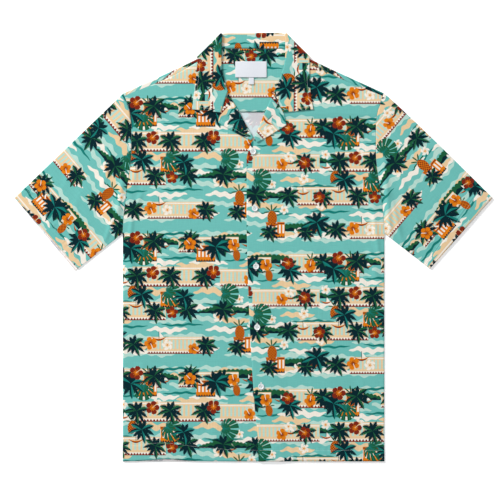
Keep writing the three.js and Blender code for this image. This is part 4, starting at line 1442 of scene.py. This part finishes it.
def collar_form(station, t):
    """k counts the table's stations to the middle of the back and on along the other side, and
    t runs over the stand (0 to 1), the roll (1 to 2) and the leaf (2 to 3). Over the shoulder
    the section turns half round, so the leaf that lay on top comes to lie below."""
    smooth, sharp = rows_of(COLLAR)
    mirrored = station > LAST
    k = np.where(mirrored, 2 * LAST - station, station)
    turn = np.pi / 2 - np.pi * np.clip(k - TURN_FROM, 0, 1)
    over, out = np.sin(turn), np.cos(turn)
    start = np.stack([smooth["seam_x"](k), smooth["seam_y"](k)], axis=-1)
    crest = np.stack([smooth["roll_x"](k), smooth["roll_y"](k)], axis=-1)
    end = np.stack([sharp["edge_x"](k), sharp["edge_y"](k)], axis=-1)
    along = (crest - start) / np.linalg.norm(crest - start, axis=-1, keepdims=True)
    foot = crest - COLLAR_ROLL * along
    fan = (end - foot) / np.linalg.norm(end - foot, axis=-1, keepdims=True)
    stand_out = np.stack([along[..., 1], -along[..., 0]], axis=-1)
    leaf_out = np.stack([-fan[..., 1], fan[..., 0]], axis=-1)

    def on_stand(share):
        p = mix(start, foot, share[..., None])
        front = rise_over_fall(p[..., 0], p[..., 1]) + 2 * LAYER + COLLAR_WALL / 2
        behind = FALL_LIFT + LAYER - AIR / 2
        middle, half = (front + behind) / 2, (front - behind) / 2
        p = p + stand_out * (half * out)[..., None]
        return np.concatenate([p, (middle + half * over)[..., None]], axis=-1)

    def on_leaf(share):
        p = mix(foot, end, share[..., None])
        away = np.linalg.norm(p - foot, axis=-1)
        rest = front_top(p[..., 0], p[..., 1], False) + AIR + COLLAR_WALL / 2
        base = rise_over_fall(p[..., 0], p[..., 1]) + 2 * LAYER + COLLAR_WALL / 2 + 2 * COLLAR_ROLL
        front = mix(np.maximum(base, rest), rest, ease(away, 0, 26))
        behind = COLLAR_WALL / 2
        middle, half = (front + behind) / 2, (front - behind) / 2
        p = p + leaf_out * (half * out)[..., None]
        return np.concatenate([p, (middle + half * over)[..., None]], axis=-1)

    stand_end, leaf_start = on_stand(np.ones_like(t)), on_leaf(np.zeros_like(t))
    half = (leaf_start - stand_end) / 2
    angle = np.clip(t - 1, 0, 1) * np.pi
    reach = np.linalg.norm(half, axis=-1) * np.sin(angle)
    roll = stand_end + half * (1 - np.cos(angle))[..., None]
    roll[..., :2] += along * reach[..., None]
    on_roll = ((t > 1) & (t < 2))[..., None]
    point = np.where(t[..., None] <= 1, on_stand(t), np.where(on_roll, roll, on_leaf(t - 2)))
    point[..., 0] *= np.where(mirrored, -1, 1)
    return leaned(point)


def collar_grain(station, t, p):
    """The leaves in front run outwards, and the band behind the neck runs across."""
    mirrored = station > LAST
    k = np.where(mirrored, 2 * LAST - station, station)
    hand = np.where(mirrored, -1, 1)
    x, y = p[..., 0], p[..., 1]
    in_front = (k < TURN_FROM + 0.5) & (t > 1.5)
    on_stand = t <= 1.5
    u = np.where(in_front, 150 * hand - hand * y, np.where(on_stand, -x, x))
    v = np.where(in_front, hand * x, -y)
    return u, v + 66


half_ks = np.concatenate([np.arange(0, 6.01, 0.125), np.arange(6.1, 7, 0.1), np.arange(7, 8.1, 0.05)])
half_ks = np.unique(np.round(np.concatenate([half_ks, np.arange(8.25, LAST, 0.2)]), 4))
collar_ks = np.concatenate([half_ks, [LAST], (2 * LAST - half_ks)[::-1]])
collar_ts = np.concatenate([np.linspace(0, 1, 9), np.linspace(1, 2, 13)[1:], np.linspace(2, 3, 45)[1:]])
collar = cloth(
    "Collar",
    collar_form,
    collar_ks,
    collar_ts,
    DOUBLE,
    collar_grain,
    faced,
    side=-1,
)

# %% [markdown]
# ## The label, its tab and the buttons
# The label is sewn to the inner yoke along its two ends, so its middle stands up a little. The
# size tab is caught under its lower edge. A button is turned on a lathe: a profile of radius and
# height is spun round, with a raised rim and a shallow well, and four holes are cut through it.

# %% Label and tab
LABEL = {"x": -5.0, "y": 333.7, "width": 59.0, "height": 30.0}
SIZE_TAB = {"x": -4.4, "width": 10.0, "height": 12.5}
TAB_TOP = LABEL["y"] - LABEL["height"] / 2 - SEAM_GAP


def tag_form(centre_x, low_y, width, height, crown, curl):
    """A small flat tag: its middle stands up by crown, and its lower edge by curl."""

    def form(u, v):
        x, y = centre_x + u * width, low_y + v * height
        dome = crown * np.cos(np.pi * np.clip(u, -0.5, 0.5)) ** 2 + curl * np.clip(1 - v, 0, 2) ** 2
        z = rise_over_fall(x, y) + yoke_waves(x, y) + 2 * LAYER + WALL / 2 + dome
        return np.stack([x, y, z], axis=-1)

    return form


label = cloth(
    "Neck_label",
    tag_form(LABEL["x"], LABEL["y"] - LABEL["height"] / 2, LABEL["width"], LABEL["height"], 0.5, 0.1),
    np.linspace(-0.5, 0.5, 61),
    np.linspace(0, 1, 31),
    THIN,
    plain_grain(),
    (woven_satin, woven_satin),
)
size_tab = cloth(
    "Size_tab",
    tag_form(
        SIZE_TAB["x"], TAB_TOP - SIZE_TAB["height"], SIZE_TAB["width"], SIZE_TAB["height"], 0.1, 0.5
    ),
    np.linspace(-0.5, 0.5, 15),
    np.linspace(0, 1, 17),
    THIN,
    plain_grain(),
    (woven_satin, woven_satin),
)

# %% Buttons
BUTTON = {
    # half of the section, from the middle of the face out and round to the middle of the back
    "radius": [0, 2.6, 3.3, 3.9, 4.6, 5.2, 5.55, 5.7, 5.6, 5.2, 4.0, 0],
    "height": [1.45, 1.45, 1.6, 1.95, 2.15, 2.1, 1.85, 1.35, 0.8, 0.4, 0.1, 0],
}
HOLE_RADIUS, HOLE_OFFSET = 0.85, 1.25
BUTTON_TURN = 0.5


def lathe(name, radii, heights, around, finish):
    """Spins a section round Z: each of its points is a ring, and the first and last are poles."""
    angle = np.linspace(0, 2 * np.pi, around, endpoint=False)
    rings = np.stack(
        [np.outer(radii, np.cos(angle)), np.outer(radii, np.sin(angle)), np.outer(heights, 1 + 0 * angle)],
        axis=-1,
    )
    inner = rings[1:-1].reshape(-1, 3)
    points = np.concatenate([[[0, 0, heights[0]]], inner, [[0, 0, heights[-1]]]])
    corner = 1 + np.arange(len(inner)).reshape(-1, around)
    corner = np.hstack([corner, corner[:, :1]])
    quads = cells(corner).tolist()
    caps = [[0, a, b] for a, b in zip(corner[0, :-1], corner[0, 1:])]
    caps += [[len(points) - 1, b, a] for a, b in zip(corner[-1, :-1], corner[-1, 1:])]
    mesh = bpy.data.meshes.new(name)
    mesh.from_pydata(points * MM, [], quads + caps)
    mesh.polygons.foreach_set("use_smooth", np.ones(len(mesh.polygons), bool))
    mesh.materials.append(finish)
    return placed(name, mesh)


section = np.linspace(0, len(BUTTON["radius"]) - 1, 34)
rows = np.arange(len(BUTTON["radius"]))
turned = lathe(
    "Button",
    line_through(rows, BUTTON["radius"])(section),
    line_through(rows, BUTTON["height"])(section),
    64,
    cast_pearl,
)
for i, (side_x, side_y) in enumerate([(1, 1), (-1, 1), (-1, -1), (1, -1)]):
    drill = lathe(f"Drill_{i}", [0, HOLE_RADIUS, HOLE_RADIUS, 0], [4, 4, -2, -2], 20, cast_pearl)
    drill.data.transform(Matrix.Translation((side_x * HOLE_OFFSET * MM, side_y * HOLE_OFFSET * MM, 0)))
    hole = turned.modifiers.new(f"Hole_{i}", "BOOLEAN")
    hole.operation, hole.solver, hole.object = "DIFFERENCE", "EXACT", drill
drilled = bpy.data.meshes.new_from_object(turned.evaluated_get(bpy.context.evaluated_depsgraph_get()))
drilled.name = "Button"
for spare in [o for o in bpy.data.objects if o.name.startswith("Drill")] + [turned]:
    bpy.data.objects.remove(spare)
buttons = []
for i, (x, y) in enumerate(zip(BUTTONS["x"], BUTTONS["y"]), 1):
    z = float(front_top(x, y, True)) + SEAM_GAP
    mesh = drilled.copy()
    turn = Matrix.Rotation(BUTTON_TURN * i, 4, "Z")
    mesh.transform(Matrix.Translation((x * MM, y * MM, z * MM)) @ turn)
    buttons.append(placed(f"Button_{i}", mesh))
print("a button has", len(drilled.polygons), "faces, its holes among them")

# %% [markdown]
# ## The sewing
# A lockstitch seam shows as a row of short bars of thread, each going down into the cloth at both
# ends, and it presses a narrow groove into the cloth. So a seam is a path in plan, and the stitch
# ends are dropped on the cloth by casting rays. Eight stitches go on 20 mm. A buttonhole is a
# slit along the front edge, with bars sewn closely across both its sides and along its ends.


# %% Thread and seams
STITCH_FACES = 38  # six rows of six sides, and two caps
RAY_START = 0.05  # metres above or below the floor, well clear of the cloth


def threads(name, starts, ends, up, radius, sink=0.1, arch=0.2):
    """One mesh of short round bars. Each runs from a start to an end, both sunk below the cloth,
    and rises between them as a sine. A bar is seven rings of six points, and two caps."""
    starts, ends, up = (np.asarray(a, float)[:, None, None] for a in (starts, ends, up))
    t = np.array([0, 0.08, 0.25, 0.5, 0.75, 0.92, 1])[:, None, None]
    angle = np.linspace(0, 2 * np.pi, 6, endpoint=False)[None, :, None]
    along = (ends - starts) / np.maximum(np.linalg.norm(ends - starts, axis=-1, keepdims=True), 1e-9)
    across = np.cross(along, up)
    thick = radius * np.array([0.5, 0.85, 1, 1, 1, 0.85, 0.5])[:, None, None]
    centre = mix(starts, ends, t) + up * (arch * np.sin(np.pi * t) - sink)
    points = centre + thick * (np.cos(angle) * across + np.sin(angle) * up)
    count, ring, around = points.shape[:3]
    corner = np.arange(ring * around).reshape(ring, around)
    corner = np.hstack([corner, corner[:, :1]])
    first = (np.arange(count) * ring * around)[:, None]
    sides = (cells(corner)[None] + first[..., None]).reshape(-1, 4)
    caps = np.concatenate([corner[0, :-1][None, ::-1] + first, corner[-1, :-1][None] + first])
    mesh = bpy.data.meshes.new(name)
    mesh.from_pydata(points.reshape(-1, 3) * MM, [], sides.tolist() + caps.tolist())
    run = np.broadcast_to(t * 2.0 * MM, points.shape[:3] + (1,))
    wind = np.broadcast_to(angle * MM, points.shape[:3] + (1,))
    uv = np.concatenate([run, wind], axis=-1).reshape(-1, 2)
    corners = np.concatenate([sides.ravel(), caps.ravel()])
    mesh.uv_layers.new(name="Grain").data.foreach_set("uv", uv[corners].ravel())
    mesh.polygons.foreach_set("use_smooth", np.ones(len(mesh.polygons), bool))
    mesh.materials.append(cotton_thread)
    made = placed(name, mesh)
    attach(made, "root")
    return made


def dropped(piece, plan, below=False):
    """Points of a piece's upper or lower surface at places in plan, with the normals there."""
    tree = BVHTree.FromPolygons(
        [v.co for v in piece.data.vertices], [p.vertices for p in piece.data.polygons]
    )
    way = 1 if below else -1
    hits = [tree.ray_cast((x * MM, y * MM, -way * RAY_START), (0, 0, way)) for x, y in plan]
    if any(hit[0] is None for hit in hits):
        raise ValueError(f"{piece.name}: a stitch misses the cloth")
    return np.array([hit[0] for hit in hits]) / MM, np.array([hit[1] for hit in hits])


def path_length(path):
    """The length of a path of points in plan."""
    return np.sum(np.linalg.norm(np.diff(np.asarray(path, float), axis=0), axis=1))


def along_path(path, distances):
    """Places at these distances along a path of points in plan."""
    path = np.asarray(path, float)
    passed = np.append(0, np.cumsum(np.linalg.norm(np.diff(path, axis=0), axis=1)))
    return np.stack([np.interp(distances, passed, path[:, i]) for i in (0, 1)], axis=-1)


def press(piece, path, depth, width, below=False):
    """Presses a groove into the cloth along a path: depth times a bell curve of the distance."""
    spots = along_path(path, np.arange(0, path_length(path), 1.0))
    mesh = piece.data
    points, normals = np.empty(len(mesh.vertices) * 3), np.empty(len(mesh.vertices) * 3)
    mesh.vertices.foreach_get("co", points)
    mesh.vertices.foreach_get("normal", normals)
    points, normals = points.reshape(-1, 3) / MM, normals.reshape(-1, 3)
    low, high = spots.min(axis=0) - 3 * width, spots.max(axis=0) + 3 * width
    facing = normals[:, 2] < -0.5 if below else normals[:, 2] > 0.5
    near = np.flatnonzero(np.all((points[:, :2] > low) & (points[:, :2] < high), axis=1) & facing)
    away = np.min(np.linalg.norm(points[near, None, :2] - spots[None], axis=-1), axis=1)
    points[near] -= normals[near] * (depth * np.exp(-((away / width) ** 2)))[:, None]
    mesh.vertices.foreach_set("co", (points * MM).ravel())
    mesh.update()


def seam(name, piece, path, below=False, pitch=2.5, groove=0.3):
    """A row of stitches along a path, with its groove."""
    press(piece, path, groove, 1.0, below)
    from_at = np.arange(0.3, path_length(path) - pitch, pitch)
    starts, up = dropped(piece, along_path(path, from_at), below)
    ends, _ = dropped(piece, along_path(path, from_at + 0.78 * pitch), below)
    return threads(name, starts, ends, up, 0.15)


def inset_path(edge, inset):
    """A path inside an edge, a run of corners, at the given distance to its left."""
    edge = np.asarray(edge, float)
    way = np.diff(edge, axis=0)
    way /= np.linalg.norm(way, axis=1, keepdims=True)
    left = np.stack([-way[:, 1], way[:, 0]], axis=-1)
    corner = left[:-1] + left[1:]
    corner /= np.sum(corner * left[1:], axis=1, keepdims=True)
    return edge + inset * np.concatenate([left[:1], corner, left[-1:]])


def hem_path(from_x, to_x, wave):
    """The line of a front's hem stitches, every 6 mm."""
    x = np.linspace(from_x, to_x, round(abs(to_x - from_x) / 6))
    y = HEM_Y + hem_stitch_up(x)
    return np.stack([x, y + wave * hem_wave(x, y)], axis=-1)


HEM_END_X = BEND_X - 1
BACK_HEM_END_X = 239
YOKE_STITCH_END_X, YOKE_STITCH_Y = 60, YOKE_Y + 2.4
LABEL_INSET = 1.5
label_x, label_y = LABEL["width"] / 2 - LABEL_INSET, LABEL["height"] / 2 - LABEL_INSET
edge_x = float(leading_x(BACK_STITCH_Y)) + 1
back_hem = [(-BACK_HEM_END_X, BACK_STITCH_Y), (BACK_HEM_END_X, BACK_STITCH_Y)]
yoke_seam = [(-YOKE_STITCH_END_X, YOKE_STITCH_Y), (YOKE_STITCH_END_X, YOKE_STITCH_Y)]
sewing = {
    "front_left": [seam("Hem_stitches_left", front_left, hem_path(edge_x + 1.5, HEM_END_X, 0))],
    "front_right": [seam("Hem_stitches_right", front_right, hem_path(-HEM_END_X, edge_x + 8, 1))],
    "back": [seam("Hem_stitches_back", back, back_hem, below=True)],
    "yoke_inner": [seam("Yoke_seam_stitches", yoke_inner, yoke_seam)],
    "neck_label": [
        seam(
            f"Label_stitches_{i}",
            label,
            [(x, LABEL["y"] - label_y), (x, LABEL["y"] + label_y)],
            pitch=2.0,
        )
        for i, x in enumerate((LABEL["x"] - label_x, LABEL["x"] + label_x), 1)
    ],
}
for piece, hand in zip(sleeves, (1, -1)):
    side = "left" if hand > 0 else "right"
    hem_low, hem_top = SLEEVES[side]["low"], SLEEVES[side]["top"]
    low = mix(mix(np.array([HALF_CHEST, UNDERARM_Y]), hem_low, SLEEVE_STITCH_AT), hem_top, 0.02)
    top = mix(mix(np.array([SHOULDER_X, SHOULDER_Y]), hem_top, SLEEVE_STITCH_AT), hem_low, 0.02)
    path = [(hand * x, y) for x, y in (low, top)]
    sewing[f"sleeve_{side}"] = [
        seam(f"Sleeve_stitches_{side}", piece, path),
        seam(f"Sleeve_stitches_{side}_under", piece, path, below=True),
    ]
EDGE_INSET = 5.0
leaf_edge = list(zip(COLLAR["edge_x"], COLLAR["edge_y"]))[: TURN_FROM + 1]
sewing["collar"] = []
for hand, side in ((1, "left"), (-1, "right")):
    path = inset_path(leaf_edge, EDGE_INSET)
    path[0] += 3 * (path[1] - path[0]) / np.linalg.norm(path[1] - path[0])
    sewing["collar"].append(seam(f"Collar_stitches_{side}", collar, leaned(path * [hand, 1])))
for piece, hand, side in zip(lapels, (1, -1), ("left", "right")):
    edge = list(zip(LAPELS[side]["edge_x"], LAPELS[side]["edge_y"]))
    path = inset_path(edge, EDGE_INSET)[1:-1]
    path = np.concatenate([[mix(path[0], edge[0], 0.72) + (0, 3)], path])
    sewing[f"lapel_{side}"] = [seam(f"Lapel_stitches_{side}", piece, leaned(path * [hand, 1]))]
print(sum(len(s.data.polygons) for rows in sewing.values() for s in rows) // STITCH_FACES, "stitches")

# %% [markdown]
# A buttonhole is 16 mm long here, with its button in the middle of it, so a little of its bars
# shows above the button and below it. The thread goes through the button's holes in two bars.

# %% Buttonholes and the buttons' thread
HOLE_HALF = 8.0
BAR_PITCH = 0.5
STRAND_HALF = 1.35


def buttonhole(index, x, y):
    """Bars across the two sides of the slit, and bars along it that close both ends."""
    rise = np.arange(-HOLE_HALF + 0.6, HOLE_HALF - 0.5, BAR_PITCH)
    starts = [(x + side * 0.15, y + r) for side in (-1, 1) for r in rise]
    ends = [(x + side * 1.45, y + r + 0.12) for side in (-1, 1) for r in rise]
    for end in (-1, 1):
        for off in np.arange(-1.3, 1.31, 0.4):
            starts.append((x + off, y + end * (HOLE_HALF - 0.9)))
            ends.append((x + off, y + end * HOLE_HALF))
    (start, up), (end, _) = dropped(front_left, starts), dropped(front_left, ends)
    return threads(f"Buttonhole_{index}", start, end, up, 0.26, sink=0.05, arch=0.22)


def shank(index, x, y):
    """Four strands a pair of holes through a button, side by side."""
    centre = np.array([x, y, float(front_top(x, y, True)) + SEAM_GAP + BUTTON["height"][0]])
    turn = BUTTON_TURN * index
    way = np.array([np.cos(turn), np.sin(turn), 0])
    side = np.array([-np.sin(turn), np.cos(turn), 0])
    offsets = [pair * HOLE_OFFSET + strand for pair in (-1, 1) for strand in (-0.3, -0.1, 0.1, 0.3)]
    starts = [centre + side * off - way * STRAND_HALF for off in offsets]
    ends = [centre + side * off + way * STRAND_HALF for off in offsets]
    return threads(f"Button_thread_{index}", starts, ends, [(0, 0, 1)] * 8, 0.14, sink=0.5, arch=0.75)


holes = [buttonhole(i, x, y) for i, (x, y) in enumerate(zip(BUTTONS["x"], BUTTONS["y"]), 1)]
sewing["front_left"] += holes
strands = [shank(i, x, y) for i, (x, y) in enumerate(zip(BUTTONS["x"], BUTTONS["y"]), 1)]
print(len(holes), "buttonholes and", len(strands), "threaded buttons")

# %% [markdown]
# ## Places
# Each piece rides on the one body and stands for its solid, which is hidden. The table gives each cloth
# piece a width and a length of its cut on the flat, and what it lies on.

SHEETS = [
    # piece, node, flat width and length in metres, what it rests on
    (back, "back", (0.493, 0.658), []),
    (yoke_outer, "yoke_outer", (0.49, 0.140), ["collar"]),
    (yoke_inner, "yoke_inner", (0.49, 0.120), ["yoke_outer"]),
    (front_left, "front_left", (0.262, 0.752), ["front_right", "back", "yoke_inner"]),
    (front_right, "front_right", (0.294, 0.752), ["back", "yoke_inner"]),
    (sleeves[0], "sleeve_left", (0.532, 0.292), []),
    (sleeves[1], "sleeve_right", (0.532, 0.298), []),
    (lapels[0], "lapel_left", (0.060, 0.092), ["front_left"]),
    (lapels[1], "lapel_right", (0.060, 0.090), ["front_right"]),
    (collar, "collar", (0.480, 0.100), ["front_left", "front_right"]),
]
for piece, node, flat, rests_on in SHEETS:
    laid(piece, node, flat, rests_on, "printed_cloth", sewing.get(node, []))
laid(label, "neck_label", (0.059, 0.030), ["yoke_inner"], "woven_label", sewing["neck_label"])
laid(size_tab, "size_tab", (0.010, 0.0125), ["yoke_inner"], "woven_label", [])
for i, (piece, strand) in enumerate(zip(buttons, strands), 1):
    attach(piece, "root")
    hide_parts(f"button_{i}")
for node, rows in sewing.items():
    for row in rows:
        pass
print(len(SHEETS) + 2, "sheets and", len(buttons), "buttons")

# %% [markdown]
# ## The floor, the light and the camera
# The shirt lies on a pale floor that glows softly, as a light table does. A large soft light
# stands to one side, so that the ridges of the cloth get a light and a shaded flank. A weak one
# hangs above, and the world fills in from all round. The camera looks straight down from 2.6 m
# through a long lens, which keeps the edges parallel.

# %% Stage
FLOOR_HALF, FLOOR_DROP = 12, 0.0008  # in metres
floor_mesh = bpy.data.meshes.new("Floor")
floor_corners = [(x * FLOOR_HALF, y * FLOOR_HALF, 0) for x, y in ((-1, -1), (1, -1), (1, 1), (-1, 1))]
floor_mesh.from_pydata(floor_corners, [], [(0, 1, 2, 3)])
floor = placed("Floor", floor_mesh)
floor.location.z = -FLOOR_DROP
FLOOR = """
    surface  BsdfPrincipled  Base_Color=pale Roughness=0.9 Emission_Color=pale Emission_Strength=0.25
"""
floor_mesh.materials.append(material("Matt paper floor", FLOOR, pale=linear("#fbfbfb")))

world = bpy.data.worlds.new("Studio")
world.use_nodes = True
world.node_tree.nodes["Background"].inputs["Color"].default_value = linear("#f6f8fb")
world.node_tree.nodes["Background"].inputs["Strength"].default_value = 0.4
bpy.context.scene.world = world
bpy.context.scene.view_settings.view_transform = "Standard"

LIGHTS = [
    # name, place, size, power in watts
    ("Key", (-3.8, 3.8, 3.2), 1.8, 400),
    ("Top", (0.6, -0.8, 5.4), 3.0, 45),
]
for name, place, size, power in LIGHTS:
    lamp = bpy.data.lights.new(name, "AREA")
    lamp.size, lamp.energy = size, power
    light = placed(name, lamp)
    light.location = place
    light.rotation_euler = (-Vector(place)).to_track_quat("-Z", "Y").to_euler()

VIEW_WIDTH = 0.94
VIEW_X, VIEW_Y, SHIRT_UP = -0.0068, -0.0056, 0.004
lens = bpy.data.cameras.new("Camera")
lens.lens, lens.sensor_width = 100, 36
camera = placed("Camera", lens)
camera.location = (VIEW_X, VIEW_Y, VIEW_WIDTH * lens.lens / lens.sensor_width + SHIRT_UP)
bpy.context.scene.camera = camera
print("the camera stands", round(camera.location.z, 3), "m above the floor")
